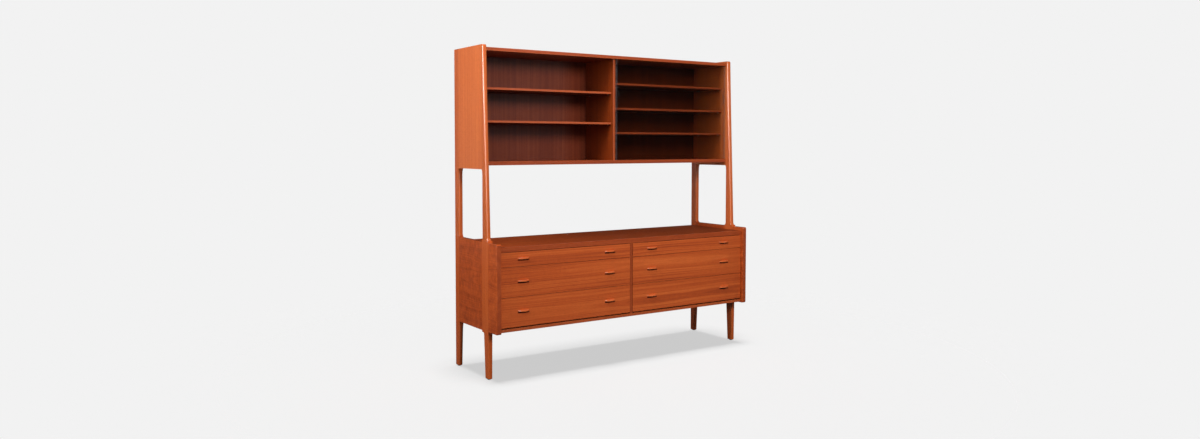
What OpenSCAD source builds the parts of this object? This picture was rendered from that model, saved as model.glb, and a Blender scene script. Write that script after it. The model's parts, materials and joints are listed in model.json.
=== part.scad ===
// A teak credenza: a long case of six drawers on leg posts, and a raised hutch with sliding glass.
// X runs along the width, the front faces -Y and Z is up.
// The origin lies on the floor, midway between the legs.

/* [Overall] */
// Width over the side frames
width = 1803.4; // [1600:0.1:2000]
// Depth over the side frames
depth = 501.65; // [470:0.05:560]
// Height from the floor to the top of the hutch's ends
height = 1809.75; // [1740:0.05:1950]

/* [Side frames] */
// Thickness of the legs, posts, side panels and strips
side_t = 27; // [24:0.5:32]
// Height of the side frames' top edge above the floor
frame_top = 745; // [715:1:790]
// Height of the side frames' underside above the floor
frame_base = 262; // [230:1:290]
// Front-to-back size of the strip ahead of each front post
strip_d = 100; // [80:1:115]
// Front-to-back size of a front post inside the frame
front_post_d = 72; // [66:1:84]
// Front-to-back size of a rear post
rear_post_d = 50; // [44:1:60]
// Front-to-back size of a front leg just under the frame
leg_top_d = 51; // [44:1:58]
// Front-to-back size of every leg at its foot
leg_foot_d = 38; // [30:1:42]
// Radius on the long edges of legs and hutch posts
post_r = 8; // [4:0.5:10]
// Radius on the strip's two front corners, seen from the side
strip_corner_r = 9; // [4:0.5:14]
// Radius on the strip's upright front edges
strip_edge_r = 2.5; // [1:0.5:6]
// Radius of the fillets between a frame's edge and a post
fillet_r = 9; // [5:0.5:12]

/* [Case] */
// Setback of the drawer fronts behind the side frames
case_inset = 20; // [18:0.5:28]
// Drop from the frames' top edge to the case's top
top_drop = 21; // [12:0.5:28]
// Thickness of the case's top
top_t = 27; // [22:0.5:32]
// Rise from the frames' underside to the bottom rail
base_rise = 5; // [0:0.5:12]
// Thickness of the case's bottom and its rail
base_t = 16; // [14:0.5:22]
// Front-to-back size of the solid lippings on top and bottom
lipping_d = 22; // [16:0.5:30]
// Thickness of the upright between the drawer columns
divider_t = 16; // [15:0.5:20]
// Thickness of the back panels
back_t = 6; // [4:0.5:8]
// Setback of the back panels from the frames' rear edge
back_inset = 10; // [8:0.5:16]
// Setback of the top boards' rear edge
board_inset = 8; // [4:0.5:8]
// Depth of the grooves that hold the back panels
back_groove = 8; // [5:0.5:10]
// Thickness of the tongues that hold boards in the sides
tongue_t = 9; // [6:0.5:10]
// Length of the tongues that hold boards in the sides
tongue_l = 10; // [6:0.5:14]

/* [Drawers] */
// Height of the bottom and middle drawer fronts
deep_h = 161; // [148:0.5:170]
// Gap around the drawer fronts
drawer_gap = 2; // [1.5:0.1:3]
// Shadow gap under the lowest drawer fronts
toe_gap = 7.5; // [3:0.5:12]
// Thickness of the drawer fronts
front_t = 19; // [17:0.5:24]
// Thickness of the drawer sides
box_t = 15; // [14:0.5:18]
// Thickness of the drawer backs
box_back_t = 12; // [9:0.5:15]
// Thickness of the drawer floors
floor_t = 5; // [4:0.5:6]
// Depth of the grooves that hold the drawer floors
floor_groove = 6; // [4:0.5:7]
// Rise of the drawer sides above the front's lower edge
box_rise = 6; // [4:0.5:12]
// Drop of the drawer sides below the front's upper edge
box_drop = 10; // [6:0.5:16]
// Height of the drawer floors above the sides' lower edge
floor_rise = 6; // [4:0.5:10]
// Drop of the drawer backs below the sides' upper edge
back_drop = 3; // [0:0.5:6]
// Clear space behind the drawers
box_rear_gap = 16; // [8:1:40]
// Length of the dovetails into the fronts
tail_l = 13; // [10:0.5:15]
// Height of one dovetail with its space
tail_pitch = 34; // [28:1:44]
// Thickness of the runners that the drawers hang on
runner_t = 9; // [7:0.5:10]
// Height of the runners
runner_h = 14; // [10:0.5:18]
// Setback of the runners behind the drawer fronts
runner_inset = 6; // [3:0.5:20]
// Space between the runners and the back
runner_gap = 5; // [2:0.5:12]

/* [Pulls] */
// Width of a carved pull
pull_w = 72; // [56:1:90]
// Projection of a pull from the drawer front
pull_d = 18; // [12:0.5:18]
// Height of a pull at the drawer front
pull_h = 15; // [13:0.5:22]
// Thickness of a pull's lip at its front
pull_lip = 7; // [5:0.5:9]
// Radius of a pull's upper front edge
pull_r = 4; // [2:0.5:5]
// Distance between a drawer's two pulls
pull_spacing = 575; // [400:1:640]
// Diameter of the round tenons on the pulls
pull_tenon_d = 10; // [8:0.5:12]
// Length of the round tenons on the pulls
pull_tenon_l = 12; // [8:0.5:14]

/* [Hutch] */
// Clear height between the frames' top edge and the hutch's bottom board
counter_h = 413; // [380:1:440]
// Height of the shoulder where a hutch post stands on its leg post
shoulder_h = 8; // [5:0.5:12]
// Setback of the front hutch posts' foot behind the leg posts
shoulder_step = 10.5; // [10:0.5:13]
// Front-to-back size of a front hutch post at its foot
hutch_foot_d = 54; // [50:0.5:58]
// Front-to-back size of a front hutch post at its top
hutch_head_d = 11; // [10:0.5:30]
// Drop of the end panels below the hutch's bottom board
end_drop = 20; // [10:0.5:30]
// Rise of the end panels above the hutch's top board
end_rise = 12; // [6:0.5:20]
// Thickness of the hutch's top board
hutch_top_t = 18; // [16:0.5:24]
// Thickness of the hutch's bottom board
hutch_bottom_t = 21; // [18:0.5:26]
// Setback of the hutch's boards behind the leg posts' front
hutch_inset = 70; // [66:0.5:74]
// Setback of the hutch's divider behind the boards' front edge
hutch_divider_inset = 25; // [22:0.5:40]
// Setback of the shelves behind the divider's front edge
shelf_inset = 17; // [10:0.5:40]
// Thickness of the shelves
shelf_t = 12; // [10:0.5:16]
// Height of the left bay's lower shelf, as a share of the hutch's clear height
left_lower_share = 0.355; // [0.2:0.005:0.45]
// Height of the left bay's upper shelf, as a share of the hutch's clear height
left_upper_share = 0.656; // [0.55:0.002:0.75]
// Height of the right bay's lower shelf, as a share of the hutch's clear height
right_lower_share = 0.26; // [0.16:0.005:0.32]
// Height of the right bay's middle shelf, as a share of the hutch's clear height
right_middle_share = 0.503; // [0.443:0.002:0.573]
// Height of the right bay's upper shelf, as a share of the hutch's clear height
right_upper_share = 0.749; // [0.679:0.002:0.779]
// Diameter of the shelf pins
pin_d = 5; // [4:0.5:6]
// Length of a shelf pin
pin_l = 17; // [14:0.5:20]
// Depth of the holes for the shelf pins
pin_hole_l = 7; // [5:0.5:7]
// Distance between neighbouring pin holes
pin_pitch = 28.5; // [20:0.5:32]
// Number of pin holes in a row for one shelf
pin_steps = 5; // [2:1:5]
// Setback of the front pins behind the shelves' front edge
pin_inset = 30; // [20:1:60]
// Distance from the rear pins to the rear posts
pin_gap = 16; // [8:1:40]
// Diameter of the dowels between case and hutch
dowel_d = 10; // [8:0.5:12]
// Length of the dowels between case and hutch
dowel_l = 50; // [40:1:70]

/* [Glass] */
// Thickness of the sliding panes
glass_t = 4; // [4:0.5:6]
// Setback of the front groove's middle behind the boards' front edge
track_inset = 7; // [6:0.5:9]
// Distance between the two grooves' middles
track_pitch = 10; // [9:0.5:12]
// Depth of the lower grooves
track_low = 5; // [4:0.5:7]
// Depth of the upper grooves, which lets a pane be lifted out
track_high = 12; // [10:0.5:13]
// Height of a pane inside the upper groove
glass_hold = 6; // [4:0.5:6]
// Distance from the middle of the hutch to a shut pane's inner edge
glass_meet = 6; // [2:0.5:7]
// Height of the ground finger hold
hold_h = 56; // [40:1:80]
// Width of the ground finger hold
hold_w = 12; // [10:0.5:16]
// Depth of the ground finger hold
hold_l = 1.5; // [1:0.1:2]
// Height of the finger hold's middle, as a share of the hutch's clear height
hold_share = 0.644; // [0.35:0.002:0.75]

/* [Glides] */
// Diameter of a glide
glide_d = 20; // [16:0.5:22]
// Height of a glide under the leg
glide_h = 4; // [3:0.5:6]
// Widening of a glide from floor to leg, on each side
glide_taper = 1.5; // [0.5:0.5:3]
// Diameter of a glide's stem in the leg
stem_d = 5; // [4:0.5:6]
// Length of a glide's stem in the leg
stem_l = 16; // [10:1:24]

/* [Fits] */
// Clearance round dowels, pins and stems, and at the ends of panels
fit_clear = 0.1; // [0.05:0.05:0.3]
// Clearance between a runner and its groove
runner_clear = 0.3; // [0.2:0.05:0.6]
// Gap at the ends and rear of the shelves
shelf_gap = 1; // [0.5:0.1:2]
// Clearance between a shelf and the pins under it
shelf_seat = 0.2; // [0.1:0.05:0.4]
// Width of the grooves beyond the glass
glass_clear = 1; // [0.6:0.1:2]
// Gap between a pane and the hutch's end
glass_gap = 1; // [0.5:0.1:2]
// Clearance under the panes in their grooves
glass_seat = 0.3; // [0.2:0.05:0.5]

/* [Hidden] */
$fn = 48;
hull_fn = 32;
plan_fn = 96;
over = 1;
sliver = 0.01;
leg_top_r = 3;
tail_share = 0.55;
tail_flare = 2;

sides = ["left", "right"];
ends = ["front", "rear"];
rows = ["bottom", "middle", "top"];
drawer_pieces = ["front", "box", "floor", "pulls"];
left_shelves = ["lower", "upper"];
left_shares = [left_lower_share, left_upper_share];
right_shelves = ["lower", "middle", "upper"];
right_shares = [right_lower_share, right_middle_share, right_upper_share];

half_w = width / 2;
inner_x = half_w - side_t;
mid_x = half_w - side_t / 2;
front_y = -depth / 2;
rear_y = depth / 2;
post_y = front_y + strip_d;
post_rear_y = post_y + front_post_d;
rear_post_y = rear_y - rear_post_d;
case_y = front_y + case_inset;
back_y = rear_y - back_inset - back_t;
board_rear_y = rear_y - board_inset;

top_z = frame_top - top_drop;
under_top_z = top_z - top_t;
base_z = frame_base + base_rise;
floor_z = base_z + base_t;

joint_z = frame_top + shoulder_h;
hutch_y = post_y + shoulder_step;
hutch_back_y = hutch_y + hutch_foot_d;
hutch_head_y = hutch_back_y - hutch_head_d;
end_z = frame_top + counter_h - end_drop;
hutch_base_z = frame_top + counter_h;
hutch_floor_z = hutch_base_z + hutch_bottom_t;
hutch_top_z = height - end_rise;
hutch_ceiling_z = hutch_top_z - hutch_top_t;
board_y = post_y + hutch_inset;
hutch_divider_y = board_y + hutch_divider_inset;
shelf_y = hutch_divider_y + shelf_inset;
shelf_rear_y = back_y - shelf_gap;
pin_ys = [shelf_y + pin_inset, rear_post_y - pin_gap];

drawer_x0 = divider_t / 2 + drawer_gap;
drawer_x1 = inner_x - drawer_gap;
drawer_mid_x = (drawer_x0 + drawer_x1) / 2;
pull_xs = [drawer_mid_x - pull_spacing / 2, drawer_mid_x + pull_spacing / 2];
box_y = case_y + front_t;
box_rear_y = back_y - box_rear_gap;
runner_y = box_y + runner_inset;
runner_rear_y = back_y - runner_gap;
glass_x = inner_x - glass_gap;
glass_z = hutch_floor_z - track_low + glass_seat;

// Front edge of a front hutch post at a height
function lean_y(z) = hutch_y + (hutch_head_y - hutch_y) * (z - joint_z) / (height - joint_z);
// Lower and upper edge of a drawer front
function row_z0(row) = floor_z + toe_gap + row * (deep_h + drawer_gap);
function row_z1(row) = row < 2 ? row_z0(row) + deep_h : under_top_z - drawer_gap;
function box_z0(row) = row_z0(row) + box_rise;
function box_z1(row) = row_z1(row) - box_drop;
function drawer_floor_z(row) = box_z0(row) + floor_rise;
function tail_count(row) = max(1, floor((box_z1(row) - box_z0(row)) / tail_pitch));
function track_y(track) = board_y + track_inset + track * track_pitch;
// Height at a share of the hutch's clear height
function hutch_z(share) = hutch_floor_z + share * (hutch_ceiling_z - hutch_floor_z);
function pin_z(share) = hutch_z(share) - shelf_seat - pin_d / 2;
function runner_z(row) = (box_z0(row) + box_z1(row) - runner_h) / 2;
function pull_z(row) = (row_z0(row) + row_z1(row)) / 2;
function drawer_node(side, row, piece) = str(side, "_", rows[row], "_drawer_", piece);

// Shapes that several pieces share

// Draws on the right, and turns it over for the left
module on_side(side) {
    mirror([side == "left" ? 1 : 0, 0, 0])
        children();
}

// A block between two corners
module block(low, high) {
    translate(low)
        cube(high - low);
}

// A profile seen from the side (Y across, Z up), given a width along X
module across(x0, x1) {
    translate([x0, 0, 0])
        rotate([90, 0, 90])
            linear_extrude(x1 - x0)
                children();
}

// The hollow corner piece of a fillet, in the first quadrant, reaching past its two straight sides
module fillet(r, reach) {
    difference() {
        translate([-reach, -reach])
            square(r + reach);
        translate([r, r])
            circle(r);
    }
}

// A fillet in a corner of a profile: flip_y and flip_z turn it to face -Y and -Z
module corner_fillet(y, z, r, flip_y, flip_z) {
    translate([y, z])
        mirror([flip_y, 0])
            mirror([0, flip_z])
                fillet(r, 0);
}

// What comes off a corner of a profile to round it, turned as a fillet is
module corner_cut(y, z, r, flip_y, flip_z) {
    translate([y, z])
        mirror([flip_y, 0])
            mirror([0, flip_z])
                fillet(r, over);
}

// The level outline of a post, with round front and rear edges where their radius isn't 0
module post_outline(y0, y1, front_r, rear_r) {
    difference() {
        translate([inner_x, y0])
            square([side_t, y1 - y0]);
        if (front_r > 0) {
            corner_cut(inner_x, y0, front_r, 0, 0);
            corner_cut(half_w, y0, front_r, 1, 0);
        }
        if (rear_r > 0) {
            corner_cut(inner_x, y1, rear_r, 0, 1);
            corner_cut(half_w, y1, rear_r, 1, 1);
        }
    }
}

// An upright length of post
module bar(y0, y1, z0, z1, front_r, rear_r) {
    translate([0, 0, z0])
        linear_extrude(z1 - z0)
            post_outline(y0, y1, front_r, rear_r);
}

// A thin level slice of a leg, for a hull
module slice(z, y0, y1, front_r, rear_r) {
    for (x = [inner_x + front_r, half_w - front_r])
        translate([x, y0 + front_r, z])
            cylinder(r = front_r, h = sliver, $fn = hull_fn);
    for (x = [inner_x + rear_r, half_w - rear_r])
        translate([x, y1 - rear_r, z])
            cylinder(r = rear_r, h = sliver, $fn = hull_fn);
}

// The hole for a dowel or a glide's stem in a post
module post_hole(y, d, z0, z1) {
    translate([mid_x, y, z0])
        cylinder(d = d + 2 * fit_clear, h = z1 - z0);
}

// The hole for the dowel in a hutch post
module dowel_hole(y) {
    post_hole(y, dowel_d, joint_z - over, joint_z + dowel_l / 2 + fit_clear);
}

// The holes for the dowel and the glide's stem in a leg
module leg_holes(dowel_y, foot_y) {
    post_hole(dowel_y, dowel_d, joint_z - dowel_l / 2 - fit_clear, joint_z + over);
    post_hole(foot_y, stem_d, 0, glide_h + stem_l + fit_clear);
}

// The tongue on the end of a board, or the groove for it
module tongue(y0, y1, z_mid) {
    block([inner_x, y0, z_mid - tongue_t / 2], [inner_x + tongue_l, y1, z_mid + tongue_t / 2]);
}

module case_tongue(z_mid) {
    tongue(post_rear_y + tongue_l, rear_post_y - tongue_l, z_mid);
}

module hutch_tongue(z_mid) {
    tongue(board_y + tongue_l, rear_post_y - tongue_l, z_mid);
}

// A board with a tongue on each end
module tongued_board(y0, y1, z0, z1) {
    block([-inner_x, y0, z0], [inner_x, y1, z1]);
    for (side = sides)
        on_side(side)
            children();
}

// The groove that holds a back panel in a rear post
module back_slot(z0, z1) {
    block([inner_x - over, back_y, z0], [inner_x + back_groove, back_y + back_t, z1]);
}

module back_panel(z0, z1) {
    x = inner_x + back_groove - fit_clear;
    block([-x, back_y, z0], [x, back_y + back_t, z1]);
}

// Legs and side frames

module front_leg(side) {
    foot_y = post_y + leg_foot_d;
    fillet_top_r = min(fillet_r, front_post_d - leg_top_d);
    color("#a84a20")
        on_side(side)
            difference() {
                union() {
                    block([inner_x, post_y, frame_base], [half_w, post_rear_y, frame_top]);
                    hull() {
                        slice(glide_h, post_y, foot_y, post_r, post_r);
                        slice(frame_base, post_y, post_y + leg_top_d, leg_top_r, leg_top_r);
                    }
                    across(inner_x, half_w)
                        shoulder_profile();
                    across(inner_x + leg_top_r, half_w - leg_top_r)
                        corner_fillet(post_y + leg_top_d - over, frame_base, fillet_top_r, 0, 1);
                }
                leg_holes(hutch_y + hutch_foot_d / 2, post_y + leg_foot_d / 2);
            }
}

// The raised shoulder that a front hutch post stands on, with a fillet before and behind it
module shoulder_profile() {
    translate([hutch_y, frame_top])
        square([hutch_foot_d, shoulder_h]);
    corner_fillet(hutch_y, frame_top, min(shoulder_h, shoulder_step), 1, 0);
    corner_fillet(hutch_back_y, frame_top, min(shoulder_h, post_rear_y - hutch_back_y), 0, 0);
}

module rear_leg(side) {
    color("#a84a20")
        on_side(side)
            difference() {
                union() {
                    bar(rear_post_y, rear_y, frame_base, joint_z, 0, post_r);
                    hull() {
                        slice(glide_h, rear_y - leg_foot_d, rear_y, post_r, post_r);
                        slice(frame_base, rear_post_y, rear_y, leg_top_r, post_r);
                    }
                }
                back_slot(base_z, under_top_z);
                leg_holes(rear_y - rear_post_d / 2, rear_y - leg_foot_d / 2);
            }
}

module side_panel(side) {
    color("#9c421c")
        on_side(side)
            difference() {
                across(inner_x, half_w) {
                    translate([post_rear_y, frame_base])
                        square([rear_post_y - post_rear_y, frame_top - frame_base]);
                    corner_fillet(rear_post_y, frame_top, shoulder_h, 1, 0);
                    corner_fillet(rear_post_y, frame_base, fillet_r, 1, 1);
                }
                case_tongue(top_z - top_t / 2);
                case_tongue(base_z + base_t / 2);
            }
}

module front_strip(side) {
    color("#a5471e")
        on_side(side)
            difference() {
                across(inner_x, half_w)
                    difference() {
                        translate([front_y, frame_base])
                            square([strip_d, frame_top - frame_base]);
                        corner_cut(front_y, frame_base, strip_corner_r, 0, 0);
                        corner_cut(front_y, frame_top, strip_corner_r, 0, 1);
                    }
                translate([0, 0, frame_base - over])
                    linear_extrude(frame_top - frame_base + 2 * over) {
                        corner_cut(inner_x, front_y, strip_edge_r, 0, 0);
                        corner_cut(half_w, front_y, strip_edge_r, 1, 0);
                    }
            }
}

// The case

module cabinet_top() {
    color("#8f3d1b")
        tongued_board(case_y + lipping_d, board_rear_y, under_top_z, top_z)
            case_tongue(top_z - top_t / 2);
}

module cabinet_top_edge() {
    color("#a5481f")
        block([-inner_x, case_y, under_top_z], [inner_x, case_y + lipping_d, top_z]);
}

module cabinet_bottom() {
    color("#7c3517")
        tongued_board(case_y + lipping_d, back_y, base_z, floor_z)
            case_tongue(base_z + base_t / 2);
}

module bottom_rail() {
    color("#a5481f")
        block([-inner_x, case_y, base_z], [inner_x, case_y + lipping_d, floor_z]);
}

module cabinet_divider() {
    color("#b65a2c")
        block([-divider_t / 2, case_y, floor_z], [divider_t / 2, back_y, under_top_z]);
}

module cabinet_back() {
    color("#7a3a1c")
        back_panel(base_z, under_top_z);
}

module drawer_runners() {
    color("#c08a55")
        for (side = sides, row = [0 : 2])
            on_side(side)
                for (x = [divider_t / 2, inner_x - runner_t])
                    block(
                        [x, runner_y, runner_z(row)],
                        [x + runner_t, runner_rear_y, runner_z(row) + runner_h]
                    );
}

module leg_glides() {
    color("#2a211c")
        for (side = sides, y = [post_y + leg_foot_d / 2, rear_y - leg_foot_d / 2])
            on_side(side)
                translate([mid_x, y, 0]) {
                    cylinder(d1 = glide_d - 2 * glide_taper, d2 = glide_d, h = glide_h);
                    cylinder(d = stem_d, h = glide_h + stem_l);
                }
}

module hutch_dowels() {
    color("#c79a63")
        for (side = sides, y = [hutch_y + hutch_foot_d / 2, rear_y - rear_post_d / 2])
            on_side(side)
                translate([mid_x, y, joint_z - dowel_l / 2])
                    cylinder(d = dowel_d, h = dowel_l);
}

// The hutch

// The front leans back and the rear is upright, round below the end panel and square beside it
module front_hutch_post(side) {
    color("#c06a36")
        on_side(side)
            difference() {
                intersection() {
                    leaning_front();
                    union() {
                        bar(post_y, hutch_back_y, joint_z, end_z, 0, post_r);
                        bar(post_y, hutch_back_y, end_z, height, 0, 0);
                    }
                }
                across(inner_x - over, half_w + over)
                    post_top_cut();
                dowel_hole(hutch_y + hutch_foot_d / 2);
            }
}

// Everything behind the leaning, round-edged front of a front hutch post
module leaning_front() {
    lean = atan((hutch_head_y - hutch_y) / (height - joint_z));
    translate([0, hutch_y, joint_z])
        rotate([-lean, 0, 0])
            translate([0, 0, -side_t])
                linear_extrude(height)
                    post_outline(0, depth, post_r, 0);
}

// What comes off a front hutch post's top corner, seen from the side
module post_top_cut() {
    r = post_r;
    translate([lean_y(height - r), height - r])
        difference() {
            translate([-over, 0])
                square([r + over, r + over]);
            translate([r, 0])
                circle(r);
        }
}

module rear_hutch_post(side) {
    color("#b9632f")
        on_side(side)
            difference() {
                union() {
                    bar(rear_post_y, rear_y, joint_z, end_z, post_r, post_r);
                    bar(rear_post_y, rear_y, end_z, height, 0, post_r);
                }
                back_slot(hutch_base_z, hutch_ceiling_z);
                dowel_hole(rear_y - rear_post_d / 2);
            }
}

module hutch_end(side) {
    color("#c9743d")
        on_side(side)
            difference() {
                across(inner_x, half_w) {
                    translate([hutch_back_y, end_z])
                        square([rear_post_y - hutch_back_y, height - end_z]);
                    corner_fillet(hutch_back_y, end_z, fillet_r, 0, 1);
                    corner_fillet(rear_post_y, end_z, fillet_r, 1, 1);
                }
                hutch_tongue(hutch_top_z - hutch_top_t / 2);
                hutch_tongue(hutch_base_z + hutch_bottom_t / 2);
                pin_holes(inner_x - over, inner_x + pin_hole_l, side == "left" ? left_shares : right_shares);
            }
}

// The holes for shelf pins in one upright face, from x0 to x1, with spare ones above each shelf
module pin_holes(x0, x1, shares) {
    for (share = shares, y = pin_ys, k = [0 : pin_steps - 1]) {
        z = pin_z(share) + k * pin_pitch;
        if (z < hutch_ceiling_z - pin_pitch)
            translate([x0, y, z])
                rotate([0, 90, 0])
                    cylinder(d = pin_d + 2 * fit_clear, h = x1 - x0);
    }
}

// Both grooves that the glass slides in
module tracks(z0, z1) {
    w = glass_t + glass_clear;
    for (track = [0, 1])
        block([-inner_x - over, track_y(track) - w / 2, z0], [inner_x + over, track_y(track) + w / 2, z1]);
}

module hutch_top() {
    color("#b8602f")
        difference() {
            tongued_board(board_y, board_rear_y, hutch_ceiling_z, hutch_top_z)
                hutch_tongue(hutch_top_z - hutch_top_t / 2);
            tracks(hutch_ceiling_z - over, hutch_ceiling_z + track_high);
        }
}

module hutch_bottom() {
    color("#b55c2c")
        difference() {
            tongued_board(board_y, back_y, hutch_base_z, hutch_floor_z)
                hutch_tongue(hutch_base_z + hutch_bottom_t / 2);
            tracks(hutch_floor_z - track_low, hutch_floor_z + over);
        }
}

module hutch_divider() {
    x = divider_t / 2;
    color("#c97a4c")
        difference() {
            block([-x, hutch_divider_y, hutch_floor_z], [x, back_y, hutch_ceiling_z]);
            pin_holes(x - pin_hole_l, x + over, right_shares);
            mirror([1, 0, 0])
                pin_holes(x - pin_hole_l, x + over, left_shares);
        }
}

module hutch_back() {
    color("#5d3220")
        back_panel(hutch_base_z, hutch_ceiling_z);
}

module shelf(side, share) {
    x0 = divider_t / 2 + shelf_gap;
    z0 = hutch_z(share);
    color("#b5623a")
        on_side(side)
            block([x0, shelf_y, z0], [inner_x - shelf_gap, shelf_rear_y, z0 + shelf_t]);
}

// Four pins under each shelf, each pushed to the end of its hole
module shelf_pins() {
    color("#9a9a9c")
        for (side = sides, share = side == "left" ? left_shares : right_shares, y = pin_ys)
            on_side(side)
                for (x = [divider_t / 2 - pin_hole_l, inner_x + pin_hole_l - pin_l])
                    translate([x, y, pin_z(share)])
                        rotate([0, 90, 0])
                            cylinder(d = pin_d, h = pin_l);
}

// The glass

// A pane at the right end of its groove, with a finger hold near the upright edge that hold_x lies by
module glass_pane(track, hold_x) {
    y = track_y(track);
    color([0.55, 0.66, 0.68, 0.4])
        difference() {
            block(
                [glass_meet, y - glass_t / 2, glass_z],
                [glass_x, y + glass_t / 2, hutch_ceiling_z + glass_hold]
            );
            translate([hold_x, y - glass_t / 2 + hold_l, hutch_z(hold_share)])
                rotate([90, 0, 0])
                    linear_extrude(hold_l + over)
                        finger_hold();
        }
}

module finger_hold() {
    straight = hold_h - hold_w;
    square([hold_w, straight], center = true);
    for (z = [-straight / 2, straight / 2])
        translate([0, z])
            circle(d = hold_w);
}

module front_glass_pane() {
    glass_pane(0, glass_meet + hold_w);
}

module rear_glass_pane() {
    glass_pane(1, glass_x - hold_w);
}

// The drawers

// The dovetails on the front end of a drawer side, seen from the side, each with its root in the side
module tails(row) {
    pitch = (box_z1(row) - box_z0(row)) / tail_count(row);
    half = pitch * tail_share / 2;
    root = half - tail_flare * over / tail_l;
    tip = half + tail_flare;
    for (i = [0 : tail_count(row) - 1]) {
        z = box_z0(row) + (i + 0.5) * pitch;
        polygon([
            [box_y + over, z - root],
            [box_y + over, z + root],
            [box_y - tail_l, z + tip],
            [box_y - tail_l, z - tip]
        ]);
    }
}

module drawer_front(side, row) {
    z0 = drawer_floor_z(row);
    color("#a4481d")
        on_side(side)
            difference() {
                block([drawer_x0, case_y, row_z0(row)], [drawer_x1, box_y, row_z1(row)]);
                across(drawer_x0 - over, drawer_x0 + box_t)
                    tails(row);
                across(drawer_x1 - box_t, drawer_x1 + over)
                    tails(row);
                block(
                    [drawer_x0 + box_t - over, box_y - floor_groove, z0],
                    [drawer_x1 - box_t + over, box_y + over, z0 + floor_t]
                );
                for (x = pull_xs)
                    translate([x, case_y - over, pull_z(row)])
                        rotate([-90, 0, 0])
                            cylinder(d = pull_tenon_d, h = pull_tenon_l + over);
            }
}

// The drawer side next to the divider: its runner's groove is on the left and its floor's on the right
module drawer_side(row) {
    z0 = drawer_floor_z(row);
    slot_d = runner_t - drawer_gap + runner_clear;
    difference() {
        union() {
            block([drawer_x0, box_y, box_z0(row)], [drawer_x0 + box_t, box_rear_y, box_z1(row)]);
            across(drawer_x0, drawer_x0 + box_t)
                tails(row);
        }
        block(
            [drawer_x0 - over, runner_y - runner_clear, runner_z(row) - runner_clear],
            [drawer_x0 + slot_d, box_rear_y + over, runner_z(row) + runner_h + runner_clear]
        );
        block(
            [drawer_x0 + box_t - floor_groove, box_y - over, z0],
            [drawer_x0 + box_t + over, box_rear_y + over, z0 + floor_t]
        );
    }
}

module drawer_box(side, row) {
    color("#b9854f")
        on_side(side) {
            drawer_side(row);
            translate([2 * drawer_mid_x, 0, 0])
                mirror([1, 0, 0])
                    drawer_side(row);
            block(
                [drawer_x0 + box_t, box_rear_y - box_back_t, drawer_floor_z(row) + floor_t],
                [drawer_x1 - box_t, box_rear_y, box_z1(row) - back_drop]
            );
        }
}

// The floor slides in from behind, under the drawer's back
module drawer_floor(side, row) {
    z0 = drawer_floor_z(row);
    reach = floor_groove - fit_clear;
    color("#a97747")
        on_side(side) {
            block(
                [drawer_x0 + box_t - reach, box_y, z0],
                [drawer_x1 - box_t + reach, box_rear_y, z0 + floor_t]
            );
            block([drawer_x0 + box_t, box_y - reach, z0], [drawer_x1 - box_t, box_y, z0 + floor_t]);
        }
}

// A carved lip, round in front when seen from above, with a round hollow for the fingers under it
module pull(z_mid) {
    plan_r = (pow(pull_w / 2, 2) + pow(pull_d, 2)) / (2 * pull_d);
    translate([0, case_y - pull_d + plan_r, z_mid])
        intersection() {
            rotate_extrude($fn = plan_fn)
                lip_profile(plan_r);
            block([-pull_w, -plan_r - over, -pull_h], [pull_w, pull_d - plan_r, pull_h]);
        }
    translate([0, case_y, z_mid])
        rotate([-90, 0, 0])
            cylinder(d = pull_tenon_d, h = pull_tenon_l);
}

// A pull cut through from front to back, with its front at x = r
module lip_profile(r) {
    top = pull_h / 2;
    difference() {
        translate([r - pull_d - over, -top])
            square([pull_d + over, pull_h]);
        translate([r, top - pull_lip - pull_d])
            circle(pull_d);
        corner_cut(r, top, pull_r, 1, 1);
    }
}

module drawer_pulls(side, row) {
    color("#b4552a")
        on_side(side)
            for (x = pull_xs)
                translate([x, 0, 0])
                    pull(pull_z(row));
}

for (side = sides) {
    front_leg(side);
    rear_leg(side);
    side_panel(side);
    front_strip(side);
    front_hutch_post(side);
    rear_hutch_post(side);
    hutch_end(side);
    for (row = [0 : 2]) {
        drawer_front(side, row);
        drawer_box(side, row);
        drawer_floor(side, row);
        drawer_pulls(side, row);
    }
}
cabinet_top();
cabinet_top_edge();
cabinet_bottom();
bottom_rail();
cabinet_divider();
cabinet_back();
drawer_runners();
leg_glides();
hutch_dowels();
hutch_top();
hutch_bottom();
hutch_divider();
hutch_back();
shelf_pins();
for (i = [0 : len(left_shelves) - 1])
    shelf("left", left_shares[i]);
for (i = [0 : len(right_shelves) - 1])
    shelf("right", right_shares[i]);
front_glass_pane();
rear_glass_pane();
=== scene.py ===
# %% [markdown]
# # A teak credenza with a raised hutch
# The real piece is a long case of six drawers between two side frames. Each frame's posts taper into the
# legs below, and four slimmer posts stand on it and carry a shallow hutch with shelves and sliding glass.
# Nearly all of it is oiled teak, so this lesson is mostly about wood: how a board is shaped, how its edges
# are eased, and which way its grain runs. The solids come in first, and every later cell works around them.

# %% Load the solids
import json
import math
import random

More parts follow.
